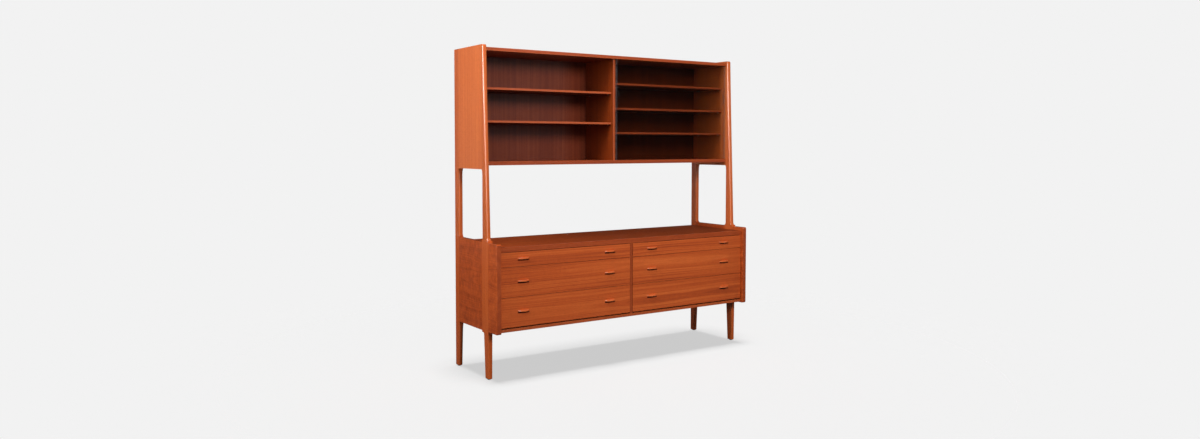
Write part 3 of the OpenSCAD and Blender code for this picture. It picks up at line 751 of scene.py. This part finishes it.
# %% [markdown]
# ## Side panels, strips and hutch ends
# The panel between two leg posts and the strip ahead of the front one have their grain across, from front
# to back, while the hutch's end has it upright. Their outlines are already right in the solids, so each is
# a closed copy of its solid. Only the edges are worked: a generous round where a hand meets the wood, and a
# hairline where two pieces are glued flush. Faces that look up are marked for wear and a painted highlight.
# The strip shows end grain in front, so it has a second, darker finish there. The hutch's end has a second,
# darker finish inside, which is painted shade.

# %% Dress the flat parts of the side frames
BOARD_EASE = 2.5 * MM
END_EASE = 1.2 * MM
JOINT_EASE = 0.25 * MM
SQUARE_ON = 0.9
OUTWARD = {"left": -1, "right": 1}


def at_joint(edge, planes):
    """True where a whole edge lies in one of the planes y in which pieces meet."""
    return any(all(abs(v.co.y - y) < SAME_PLANE for v in edge.verts) for y in planes)


def dressed(node, radius, *planes):
    """A copy of a solid with hairline edges in the joint planes and round ones elsewhere."""
    bm = copy_solid(node)
    ease(bm, radius, lambda e: not at_joint(e, planes))
    ease(bm, JOINT_EASE, lambda e: at_joint(e, planes), segments=1)
    bm.normal_update()
    wear = bm.faces.layers.float["wear"]
    # Faces that look up are marked too: a painted highlight that makes the tops paler.
    for face in bm.faces:
        if face.normal.z > SQUARE_ON:
            face[wear] = 1.0
    return bm


for side in SIDES:
    board = dressed(f"{side}_side_panel", BOARD_EASE, front_high.y, rear_low.y)
    finish_piece(f"{side}_side_board", board, "carcase", [f"{side}_side_panel"], [side_teak],
                 "YZX", heart=(-0.05, 0.1), tone=-0.04)
    strip = dressed(f"{side}_front_strip", BOARD_EASE, front_low.y)
    second_finish(strip, lambda face: face.normal.y < -SQUARE_ON)
    finish_piece(f"{side}_fore_strip", strip, "carcase", [f"{side}_front_strip"],
                 [side_teak, edge_teak], "YZX", heart=(-0.05, 0.1), tone=0.03)
    end = dressed(f"{side}_hutch_end", END_EASE, hutch_high.y, rear_post_low.y)
    # The end's inner face gets the darker finish: painted shade.
    second_finish(end, lambda face: face.normal.x * OUTWARD[side] < -SQUARE_ON)
    finish_piece(f"{side}_hutch_side", end, "carcase", [f"{side}_hutch_end"],
                 [frame_teak, end_painted_shade_teak], "ZYX", heart=(0.16, 0.12), tone=0.1)
print("six flat frame parts")

# %% [markdown]
# ## Boards
# The case's top and bottom are veneered boards, each with a solid strip of teak along its front edge. The
# hutch's boards have two grooves each for the glass, and the drawers hang on plain strips of hardwood. All
# of these come from the solids, grooves included, and a table gives each its slot, its finish, the run of
# its grain, the place of its tree's heart, its tone and how far its edges are eased, in millimetres.

# %% Dress the boards
BOARDS = [
    # The case's top has the darker finish of painted shade.
    ("cabinet_top_board", "cabinet_top", "front_teak", top_painted_shade_teak, "XYZ", (0.1, 0.1), 0.0, 0.3),
    ("cabinet_top_lipping", "cabinet_top_edge", "edge_teak", edge_teak, "XZY", (0.03, 0.12), 0.0, 1.0),
    ("cabinet_bottom_board", "cabinet_bottom", "inner_teak", inner_teak, "XYZ", (0.1, 0.12), -0.05, 0.3),
    ("bottom_rail_lipping", "bottom_rail", "edge_teak", edge_teak, "XZY", (0.02, 0.1), 0.3, 1.0),
    ("cabinet_upright", "cabinet_divider", "edge_teak", edge_teak, "ZYX", (0.1, 0.1), 0.0, 0.8),
    ("cabinet_back_panel", "cabinet_back", "inner_teak", inner_teak, "XZY", (0.12, 0.1), -0.02, 0.4),
    ("hutch_top_board", "hutch_top", "edge_teak", edge_teak, "XYZ", (0.06, 0.12), 0.05, 0.8),
    ("hutch_bottom_board", "hutch_bottom", "edge_teak", edge_teak, "XYZ", (0.05, 0.11), -0.1, 0.8),
    ("drawer_runner_strips", "drawer_runners", "drawer_wood", drawer_wood, "YZX", (0.05, 0.1), 0.0, 0.6),
]
for name, node, slot, finish, run, heart, tone, radius in BOARDS:
    board = ease(copy_solid(node), radius * MM)
    finish_piece(name, board, "carcase", [node], [finish], run, heart, tone)
print(len(BOARDS), "boards and strips")

# %% [markdown]
# ## The hutch's divider and back
# The divider has rows of holes for the shelf pins, and its front edge is solid wood that hands have
# polished; that edge is also painted a little paler, as a painted highlight. The divider's faces are
# painted darker, as painted shade. The back's front face is painted darker on the right, behind the glass
# of the right bay, as painted shade. Both need two finishes on one board: a cut down the back's middle line
# makes room for that.

# %% Dress the divider and the back
DIVIDER_EASE = 0.5 * MM
BACK_EASE = 0.4 * MM
MOSTLY = 0.5

upright = ease(copy_solid("hutch_divider"), DIVIDER_EASE)
second_finish(upright, lambda face: face.normal.y < -MOSTLY)
# The polished front edge is marked too, which paints it paler as a highlight.
wear = upright.faces.layers.float["wear"]
for face in upright.faces:
    face[wear] = max(face[wear], float(face.material_index))
# The divider's faces take the painted shade, and its front edge the lipping's finish.
finish_piece("hutch_upright", upright, "carcase", ["hutch_divider"], [divider_painted_shade_teak, edge_teak],
             "ZYX", (0.12, 0.11), 0.1)

backing = ease(copy_solid("hutch_back"), BACK_EASE)
cut(backing, (0, 0, 0), (1, 0, 0))
# On the right, the back's front face gets the darker finish: painted shade behind the glass.
second_finish(backing, lambda face: face.calc_center_median().x > 0 and face.normal.y < -MOSTLY)
finish_piece("hutch_back_panel", backing, "carcase", ["hutch_back"], [inner_teak, back_painted_shade_teak],
             "ZXY", (0.3, 0.1), 0.0)
print("a divider and a back in two finishes each")

# %% [markdown]
# ## Shelves
# A shelf is a thin veneered board with a solid lipping in front, which catches the light as a pale line in
# the dark hutch. It is one board here, cut across just behind its front edge so that the lipping can have
# its own finish.

# %% Make the shelves
LIPPING = 8 * MM
SHELF_EASE = 1.0 * MM
SHELVES = [f"left_{row}_shelf" for row in ("lower", "upper")]
SHELVES += [f"right_{row}_shelf" for row in ("lower", "middle", "upper")]


def block(low, high):
    bm = bmesh.new()
    bmesh.ops.create_cube(bm, size=1)
    for vert in bm.verts:
        vert.co = Vector((low[i] if vert.co[i] < 0 else high[i]) for i in range(3))
    return bm


def lipped_board(node):
    low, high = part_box(node)
    bm = block(low, high)
    cut(bm, (0, low.y + LIPPING, 0), (0, 1, 0))
    ease(bm, SHELF_EASE)
    return second_finish(bm, lambda face: face.calc_center_median().y < low.y + LIPPING)


for node in SHELVES:
    finish_piece(node.replace("shelf", "shelf_board"), lipped_board(node), "carcase", [node],
                 [inner_teak, edge_teak], "XYZ", heart=(0.08, 0.1), tone=0.12)
print(len(SHELVES), "shelves")

# %% [markdown]
# ## Sliding glass
# Two panes stand one behind the other in the hutch's grooves, both pushed to the right. Each has a long
# finger hold ground into its face near one edge. A pane is a closed copy of its solid with its edges
# polished round. The faces inside the hold get the ground finish, and the two upright edges the grey one.

# %% Make the panes
GLASS_EASE = 0.5 * MM
EDGE_WIDTH = 0.6 * MM
HOLD_MARGIN = 2 * MM
HOLD_SKIN = 0.2 * MM
HOLD_DEPTH = 2.5 * MM


def pane(node):
    bm = ease(copy_solid(node), GLASS_EASE, segments=2)
    low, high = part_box(node)
    for face in bm.faces:
        middle = face.calc_center_median()
        inside = all(low[i] + HOLD_MARGIN < middle[i] < high[i] - HOLD_MARGIN for i in (0, 2))
        ground = inside and low.y + HOLD_SKIN < middle.y < low.y + HOLD_DEPTH
        edge = min(middle.x - low.x, high.x - middle.x) < EDGE_WIDTH
        face.material_index = 2 if edge else int(ground)
    return bm


for place in ("front", "rear"):
    finish_piece(f"{place}_sliding_pane", pane(f"{place}_glass_pane"), f"{place}_pane",
                 [f"{place}_glass_pane"], [pane_glass, ground_glass, glass_edge], "ZXY")
print("two panes")

# %% [markdown]
# ## Repeats
# Pins, glides and pulls repeat, so Geometry Nodes place them: one modelled piece goes on every point of a
# small mesh of places. A random shift, from a fixed seed, moves each copy to another spot in the tree, so
# that no two pulls have the same figure. The result is made real and becomes one plain mesh for each body.


# %% Build the tree that repeats a piece
def new_tree(name, inputs):
    tree = bpy.data.node_groups.new(name, "GeometryNodeTree")
    tree.interface.new_socket("Shapes", in_out="OUTPUT", socket_type="NodeSocketGeometry")
    for label, kind in inputs.items():
        tree.interface.new_socket(label, in_out="INPUT", socket_type=f"NodeSocket{kind}")
    return tree, Graph(tree)


def store(g, shapes, name, value, domain):
    """Keeps a vector under a name, for each copy or for each point."""
    settings = {"data_type": "FLOAT_VECTOR", "domain": domain}
    values = {"Geometry": shapes, "Name": name, "Value": value}
    return g.make("GeometryNodeStoreNamedAttribute", settings, values)


def repeat_tree():
    inputs = {"Places": "Geometry", "Piece": "Object", "Finish": "Material", "Shift": "Float",
              "Seed": "Int"}
    tree, g = new_tree("repeat_on_places", inputs)
    given = g.make("NodeGroupInput")
    shape = g.make("GeometryNodeObjectInfo", None, {"Object": given.out("Piece")}, "Geometry")
    copies = g.make("GeometryNodeInstanceOnPoints", None, {"Points": given, "Instance": shape})
    draw = g.make("FunctionNodeRandomValue", {"data_type": "FLOAT_VECTOR"}, {"Seed": given.out("Seed")})
    moved = g.make("ShaderNodeVectorMath", {"operation": "SCALE"}, {0: draw, "Scale": given.out("Shift")})
    copies = store(g, copies, "moved", moved, "INSTANCE")
    real = g.make("GeometryNodeRealizeInstances", None, {0: copies})
    grain, own = (g.make("GeometryNodeInputNamedAttribute", {"data_type": "FLOAT_VECTOR"}, {"Name": n})
                  for n in ("grain", "moved"))
    total = g.make("ShaderNodeVectorMath", {"operation": "ADD"}, {0: grain, 1: own})
    real = store(g, real, "grain", total, "POINT")
    real = g.make("GeometryNodeSetMaterial", None, {"Geometry": real, "Material": given.out("Finish")})
    g.make("NodeGroupOutput", None, {0: real})
    return tree


REPEAT = repeat_tree()
print("the repeat tree has", len(REPEAT.nodes), "nodes")


# %% Run the tree on a mesh of places
def run_tree(name, base, tree, values):
    """Runs a tree on a mesh with its named inputs, and returns the result as a plain mesh."""
    carrier = bpy.data.objects.new(name, base)
    scene.collection.objects.link(carrier)
    modifier = carrier.modifiers.new("tree", "NODES")
    modifier.node_group = tree
    for item in tree.interface.items_tree:
        if item.in_out == "INPUT" and item.name in values:
            modifier[item.identifier] = values[item.name]
    graph = bpy.context.evaluated_depsgraph_get()
    mesh = bpy.data.meshes.new_from_object(carrier.evaluated_get(graph), depsgraph=graph)
    bpy.data.objects.remove(carrier)
    return mesh


def repeat(name, template, places, body, nodes, finish, seed, shift=0.0, hollow_shade_finish=None):
    """Puts a template on every place, with a second finish of painted shade where it is marked as hollow.
    """
    base = bpy.data.meshes.new(name + "_places")
    base.from_pydata(places, [], [])
    values = {"Piece": template, "Finish": finish, "Shift": shift, "Seed": seed}
    mesh = run_tree(name, base, REPEAT, values)
    mesh.materials.clear()
    mesh.set_sharp_from_angle(angle=ROUND_ANGLE)
    finishes = [finish]
    if hollow_shade_finish:
        finishes.append(hollow_shade_finish)
        marks = [int(item.value) for item in mesh.attributes["hollow"].data]
        mesh.polygons.foreach_set("material_index", marks)
    place_piece(name, mesh, body, nodes, finishes)


def keep_template(name, bm, run, heart):
    """A hidden mesh at the origin for the repeats to copy."""
    mesh = bpy.data.meshes.new(name)
    bm.to_mesh(mesh)
    bm.free()
    mesh.shade_smooth()
    add_grain(mesh, run, heart, 0.05, 0.0)
    return bpy.data.objects.new(name, mesh)


print("one call repeats a template")

# %% [markdown]
# ## Pins and glides
# Both are turned on a lathe, so a profile swept round an axis is the natural way. A shelf pin is a plain
# steel rod with rounded ends, and four of them carry a shelf. A glide is a low cone, wider at the leg, with
# a rounded rim on the floor. The dowels between the posts can't be seen, so they keep their solids.


# %% Turn a profile
def turned(profile, axis, sides=20):
    """Sweeps (distance along the axis, radius) pairs round X or Z, and closes both ends."""
    bm = bmesh.new()
    rings = []
    angles = [2 * math.pi * i / sides for i in range(sides)]
    for t, r in profile:
        circle = [(r * math.cos(a), r * math.sin(a)) for a in angles]
        rings.append([bm.verts.new((t, u, v) if axis == "X" else (u, v, t)) for u, v in circle])
    skin(bm, rings)
    bmesh.ops.recalc_face_normals(bm, faces=bm.faces)
    return bm


def rod_profile(length, radius, soft):
    """A rod along its axis, with quarter rounds of radius soft at both ends."""
    near = [(soft * (1 - math.cos(a)), radius - soft * (1 - math.sin(a))) for a in quarter_turn(3)]
    return near + [(length - t, r) for t, r in reversed(near)]


print("a lathe for rods and cones")

# %% Set the shelf pins
PIN_LENGTH, PIN_R, PIN_SOFT = 17 * MM, 2.5 * MM, 0.6 * MM
PIN_OUT = 10 * MM
PIN_CLEARANCE = 0.2 * MM
PIN_FROM_FRONT, PIN_FROM_POST = 30 * MM, 16 * MM
pin = keep_template("pin_template", turned(rod_profile(PIN_LENGTH, PIN_R, PIN_SOFT), "X"), "XYZ", (0, 0))
divider_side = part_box("hutch_divider")[1].x
right_xs = (divider_side - (PIN_LENGTH - PIN_OUT), INNER_X - PIN_OUT)
left_xs = tuple(-x - PIN_LENGTH for x in right_xs)
pin_ys = (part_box("left_lower_shelf")[0].y + PIN_FROM_FRONT, rear_post_low.y - PIN_FROM_POST)
pin_places = []
for node in SHELVES:
    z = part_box(node)[0].z - PIN_CLEARANCE - PIN_R
    xs = right_xs if node.startswith("right") else left_xs
    pin_places += [(x, y, z) for x in xs for y in pin_ys]
repeat("shelf_pin_set", pin, pin_places, "carcase", ["shelf_pins"], pin_steel, seed=3)
print(len(pin_places), "pins")

# %% Set the glides and finish the dowels
GLIDE_R, GLIDE_FOOT_R, GLIDE_H = 10 * MM, 8.5 * MM, 4 * MM
GLIDE_RIM = 0.8 * MM
GLIDE_SIDES = 32
glide_profile = [
    (0, GLIDE_FOOT_R - GLIDE_RIM),
    (0.25 * MM, GLIDE_FOOT_R - 0.2 * MM),
    (GLIDE_RIM, GLIDE_FOOT_R),
    (GLIDE_H - 0.5 * MM, GLIDE_R),
    (GLIDE_H, GLIDE_R - 0.4 * MM),
]
glide = keep_template("glide_template", turned(glide_profile, "Z", GLIDE_SIDES), "ZXY", (0, 0))
mid_x = (INNER_X + OUTER_X) / 2
glide_ys = (front_low.y + FOOT_DEPTH / 2, rear_high.y - FOOT_DEPTH / 2)
glide_places = [(x, y, 0) for x in (-mid_x, mid_x) for y in glide_ys]
repeat("leg_glide_set", glide, glide_places, "carcase", ["leg_glides"], glide_plastic,
       seed=5)

dowels = frame["nodes"]["hutch_dowels"].data
dowels.materials.clear()
dowels.materials.append(dowel_beech)
print(len(glide_places), "glides")

# %% [markdown]
# ## Drawers
# A drawer is a veneered front, two sides dovetailed into it, a thin back and a floor in grooves. The joints
# are cut in the solids, so the copies keep every tail and socket, and they show when a drawer is open. The
# fronts of a row come from one run of veneer: both use the same place in the tree, so that the dark lines
# carry on from one drawer to the next. A front's edges are in the gaps, so they have a dark finish of
# painted shade.

# %% Dress the drawers
FRONT_EASE = 0.7 * MM
BOX_EASE = 0.6 * MM
FLOOR_EASE = 0.3 * MM
EDGE_ON = 0.2
# Where each row's veneer was cut: the heart's distance up and in, and the place along the trunk.
ROWS = {"bottom": (0.02, 0.10, 3.0), "middle": (-0.035, 0.085, 11.0), "top": (0.05, 0.12, 23.0)}
for row, (heart_up, heart_in, shift) in ROWS.items():
    for side in SIDES:
        body = f"{side}_{row}_drawer"
        front = ease(copy_solid(f"{body}_front"), FRONT_EASE)
        # The front's edges in the gaps are painted dark: painted shade.
        second_finish(front, lambda face: abs(face.normal.y) < EDGE_ON)
        finish_piece(f"{body}_face", front, body, [f"{body}_front"], [front_teak, gap_painted_shade_teak],
                     "XZY", heart=(heart_up, heart_in), tone=0.02, shift=shift)
        box = ease(copy_solid(f"{body}_box"), BOX_EASE, segments=2)
        finish_piece(f"{body}_case", box, body, [f"{body}_box"], [drawer_wood], "YZX",
                     heart=(0.04, 0.12))
        bottom = ease(copy_solid(f"{body}_floor"), FLOOR_EASE, segments=1)
        finish_piece(f"{body}_bottom", bottom, body, [f"{body}_floor"], [floor_ply], "XYZ",
                     heart=(0.1, 0.1))
print(2 * len(ROWS), "drawers")

# %% [markdown]
# ## Carved pulls
# The pull is a small lip, round in front when seen from above and hollowed underneath for the fingers. Its
# ends run out to nothing on the drawer's face. Sections across its width follow that rule: each has the
# depth that the round plan leaves it, a soft upper edge, and a hollow that scales with the depth. Hands
# have polished the lip, which is also painted a little paler as a highlight, and the hollow is painted dark
# as painted shade.

# %% Carve one pull
PULL_HALF, PULL_DEPTH, PULL_TALL, PULL_LIP = 36 * MM, 18 * MM, 15 * MM, 7 * MM
PLAN_R = (PULL_HALF ** 2 + PULL_DEPTH ** 2) / (2 * PULL_DEPTH)
THINNEST = 0.4 * MM
TOP_ROUND, TOP_STEPS = 3.2 * MM, 5
LIP_ROUND, LIP_STEPS = 1.4 * MM, 4
HOLLOW_WALL, HOLLOW_STEPS = 3 * MM, 7
LIP_END = 1 + TOP_STEPS + LIP_STEPS
STATIONS = 28


def pull_section(u):
    """The pull cut through at u, from -1 to 1 of its half width: points out from the face and up."""
    depth = max(math.sqrt(PLAN_R ** 2 - (PULL_HALF * u) ** 2) - (PLAN_R - PULL_DEPTH), THINNEST)
    scale = depth / PULL_DEPTH
    top = PULL_TALL / 2
    points = [(0, top)]
    for a in quarter_turn(TOP_STEPS):
        points.append((depth - TOP_ROUND * scale * (1 - math.sin(a)), top - TOP_ROUND * (1 - math.cos(a))))
    for a in quarter_turn(LIP_STEPS)[1:]:
        up = top - PULL_LIP + LIP_ROUND * (1 - math.sin(a))
        points.append((depth - LIP_ROUND * scale * (1 - math.cos(a)), up))
    reach = PULL_DEPTH - HOLLOW_WALL
    for i in range(1, HOLLOW_STEPS + 1):
        back = LIP_ROUND + (reach - LIP_ROUND) * i / HOLLOW_STEPS
        drop = PULL_DEPTH - math.sqrt(PULL_DEPTH ** 2 - back ** 2)
        points.append((depth - back * scale, top - PULL_LIP - drop))
    return points + [(0, points[-1][1])]


def carved_pull():
    bm = bmesh.new()
    wear = bm.faces.layers.float.new("wear")
    hollow = bm.faces.layers.float.new("hollow")
    rings = []
    for i in range(STATIONS + 1):
        u = math.sin(math.pi / 2 * (2 * i / STATIONS - 1))
        rings.append([bm.verts.new((PULL_HALF * u, -out, up)) for out, up in pull_section(u)])
    # The lip is marked for wear and a painted highlight, the hollow for its painted shade.
    for i, face in skin(bm, rings):
        face[wear] = float(1 <= i < LIP_END)
        face[hollow] = float(i >= LIP_END)
    bmesh.ops.recalc_face_normals(bm, faces=bm.faces)
    return bm


pull = keep_template("pull_template", carved_pull(), "XZY", (0.02, 0.1))
print("a pull of", len(pull.data.polygons), "faces,", round(PULL_HALF / MM * 2), "mm wide")

# %% Put two pulls on each drawer
# How far along the trunk and across it the random shift may take a pull, in metres.
PULL_SPREAD = 4.0
for row in ROWS:
    for side in SIDES:
        body = f"{side}_{row}_drawer"
        low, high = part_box(f"{body}_pulls")
        face_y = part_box(f"{body}_front")[0].y
        places = [(x, face_y, (low.z + high.z) / 2) for x in (low.x + PULL_HALF, high.x - PULL_HALF)]
        # The hollows get the dark finish of painted shade.
        repeat(f"{body}_lips", pull, places, body, [f"{body}_pulls"], pull_teak,
               seed=len(row) + SIDES.index(side), shift=PULL_SPREAD, hollow_shade_finish=gap_painted_shade_teak)
print("two pulls on each of", 2 * len(ROWS), "drawers")

# %% [markdown]
# ## The floor
# The piece stands on a pale floor in a white studio. The floor has to take the soft shadow and still be as
# white as the background, so the camera sees some light of its own in it, and other rays hardly any: a
# floor that bright would light the furniture from below. Far from the piece it fades out to nothing.

# %% Lay the floor
REACH = 9.0
FLOOR_ALBEDO = 0.3
FLOOR_GLOW = 0.583
MIRRORED_SHARE = 0.1
UNSEEN_SHARE = 0.2
FADE_FROM, FADE_TO = 1.5, 3.0
corners = [(-REACH, -REACH, 0), (REACH, -REACH, 0), (REACH, REACH, 0), (-REACH, REACH, 0)]
floor_mesh = bpy.data.meshes.new("floor")
floor_mesh.from_pydata(corners, [], [(0, 1, 2, 3)])
floor = bpy.data.objects.new("floor", floor_mesh)
scene.collection.objects.link(floor)


def straight_through(g, path):
    """1 for a ray that has met nothing but glass on its way from the camera."""
    return 1 - g.step(path.out("Diffuse Depth") + path.out("Glossy Depth"), 0, 1)


floor_material = bpy.data.materials.new("pale_floor")
floor_material.use_nodes = True
floor_material.node_tree.nodes.clear()
g = Graph(floor_material.node_tree)
path = g.make("ShaderNodeLightPath")
through_glass = path.out("Is Transmission Ray") * straight_through(g, path)
seen = path + path.out("Is Glossy Ray") * MIRRORED_SHARE + through_glass
grey = (seen * (1 - UNSEEN_SHARE) + UNSEEN_SHARE) * FLOOR_ALBEDO
matt = g.make("ShaderNodeBsdfDiffuse", None, {"Color": g.vector(grey, grey, grey)})
glow = g.make("ShaderNodeEmission", None, {"Strength": seen * FLOOR_GLOW})
lit = g.make("ShaderNodeAddShader", None, {0: matt, 1: glow})
clear = g.make("ShaderNodeBsdfTransparent")
where = g.make("ShaderNodeTexCoord", out="Object")
away = g.make("ShaderNodeVectorMath", {"operation": "LENGTH"}, {0: where}, "Value")
both = g.make("ShaderNodeMixShader", None, {0: g.step(away, FADE_FROM, FADE_TO), 1: lit, 2: clear})
g.make("ShaderNodeOutputMaterial", None, {0: both})
floor_mesh.materials.append(floor_material)
print("a floor that fades out", FADE_TO, "m from the middle")

# %% [markdown]
# ## The background
# The world is pale where the camera looks at it, directly or through the glass, and almost dark for light
# that bounces about, so that the lamps alone shape the furniture. Only a patch on the left, behind the
# piece, is there to be mirrored in its sheen.

# %% Paint the background
BACKDROP = 0.888
SHEEN_PATCH = 0.6
SHEEN_ELSEWHERE = 0.006
BEHIND_GLASS = 0.004
BOUNCED = 0.09
world = bpy.data.worlds.new("studio")
scene.world = world
world.use_nodes = True
world.node_tree.nodes.clear()
g = Graph(world.node_tree)
path = g.make("ShaderNodeLightPath")
direction = g.make("ShaderNodeSeparateXYZ", None, {0: g.make("ShaderNodeTexCoord", out="Generated")})
behind = g.step(direction.out("Y"), 0.0, 0.6)
left = (1 - g.step(direction, -0.5, -0.2)) * g.step(direction.out("Z"), -0.05, 0.12)
mirrored = path.out("Is Glossy Ray") * (left * behind * SHEEN_PATCH + SHEEN_ELSEWHERE)
through_glass = path.out("Is Transmission Ray") * (straight_through(g, path) * BACKDROP + BEHIND_GLASS)
strength = path * BACKDROP + mirrored + through_glass + path.out("Is Diffuse Ray") * BOUNCED
sky = g.make("ShaderNodeBackground", None, {"Color": (1, 1, 1, 1), "Strength": strength})
g.make("ShaderNodeOutputWorld", None, {0: sky})
scene.view_settings.view_transform = "Standard"
print("a backdrop of", BACKDROP, "in linear light")

# %% [markdown]
# ## The lamps
# The key, up on the left, makes the ends of the frames bright, and one in front lights the drawers and the
# shelves. Weak ones at the left and the right of the front soften the shadows, and one overhead lights what
# faces up. The case's top has a small lamp of its own, because it darkens from left to right. One is only
# mirrored and draws the thin bright line on the posts' round noses, and three more keep the rear and the
# right from going black. Light linking says which pieces a lamp reaches, and a sun that reaches only the
# floor drops the soft shadow under the case.


# %% Hang the lamps
def lit_together(name, chosen):
    """A collection of the pieces that chosen says yes to, for lamps that light nothing else."""
    group = bpy.data.collections.new(name)
    for obj in scene.objects:
        if obj.type == "MESH" and obj is not floor and chosen(obj.name):
            group.objects.link(obj)
    return group


furniture = lit_together("furniture", lambda name: True)
counter = lit_together("counter", lambda name: name == "cabinet_top_board")
the_rest = lit_together("the_rest", lambda name: name != "cabinet_top_board")


def lamp(name, place, target, size, power, onto=furniture, mirrored=False, lights=True):
    """A soft box for some of the pieces, or for all. It may be seen in their sheen, or only there."""
    data = bpy.data.lights.new(name, "AREA")
    data.shape = "RECTANGLE"
    data.size, data.size_y = size
    data.energy = power
    light = bpy.data.objects.new(name, data)
    light.location = place
    light.rotation_euler = (Vector(target) - Vector(place)).to_track_quat("-Z", "Y").to_euler()
    light.light_linking.receiver_collection = onto
    light.visible_diffuse = lights
    light.visible_glossy = mirrored
    light.visible_camera = light.visible_transmission = False
    scene.collection.objects.link(light)


lamp("key", (-3.2, -0.5, 2.2), (-0.9, -0.1, 1.55), (0.9, 1.1), 70, mirrored=True)
lamp("rim", (-3.5, -2.7, 1.9), (-0.3, -0.1, 1.3), (0.4, 1.6), 13)
lamp("rim_glint", (-3.5, -2.7, 1.8), (-0.3, -0.1, 1.2), (1.6, 1.8), 70, mirrored=True, lights=False)
lamp("front", (0.2, -3.4, 2.45), (0, 0, 0.9), (1.0, 0.8), 96, the_rest)
lamp("glint", (1.8, -4.2, 1.9), (0, 0, 1.2), (1.2, 1.2), 12, mirrored=True)
lamp("overhead", (-0.9, -0.75, 3.1), (-0.3, -0.2, 0.6), (1.0, 0.5), 26, the_rest, mirrored=True)
lamp("counter_light", (-1.5, -0.9, 2.1), (-0.6, -0.1, 0.7), (0.8, 0.5), 24, counter)
lamp("rear_left", (-1.8, 3.2, 0.9), (0.5, 0.1, 0.6), (1.4, 1.0), 34)
lamp("rear_right", (2.6, 2.8, 1.5), (0.2, 0.0, 0.9), (1.4, 1.4), 60)
lamp("right", (3.6, -0.9, 1.5), (0.9, 0.0, 0.9), (1.0, 1.4), 30)
print(len(bpy.data.lights), "soft boxes")

# %% Drop the shadow
SUN_STRENGTH = 2.88
SUN_ANGLE = math.radians(15)
ground = bpy.data.collections.new("lit_from_above")
ground.objects.link(floor)
above = bpy.data.lights.new("above", "SUN")
above.energy = SUN_STRENGTH
above.angle = SUN_ANGLE
above_lamp = bpy.data.objects.new("above", above)
above_lamp.light_linking.receiver_collection = ground
scene.collection.objects.link(above_lamp)
print("a soft sun for the floor")
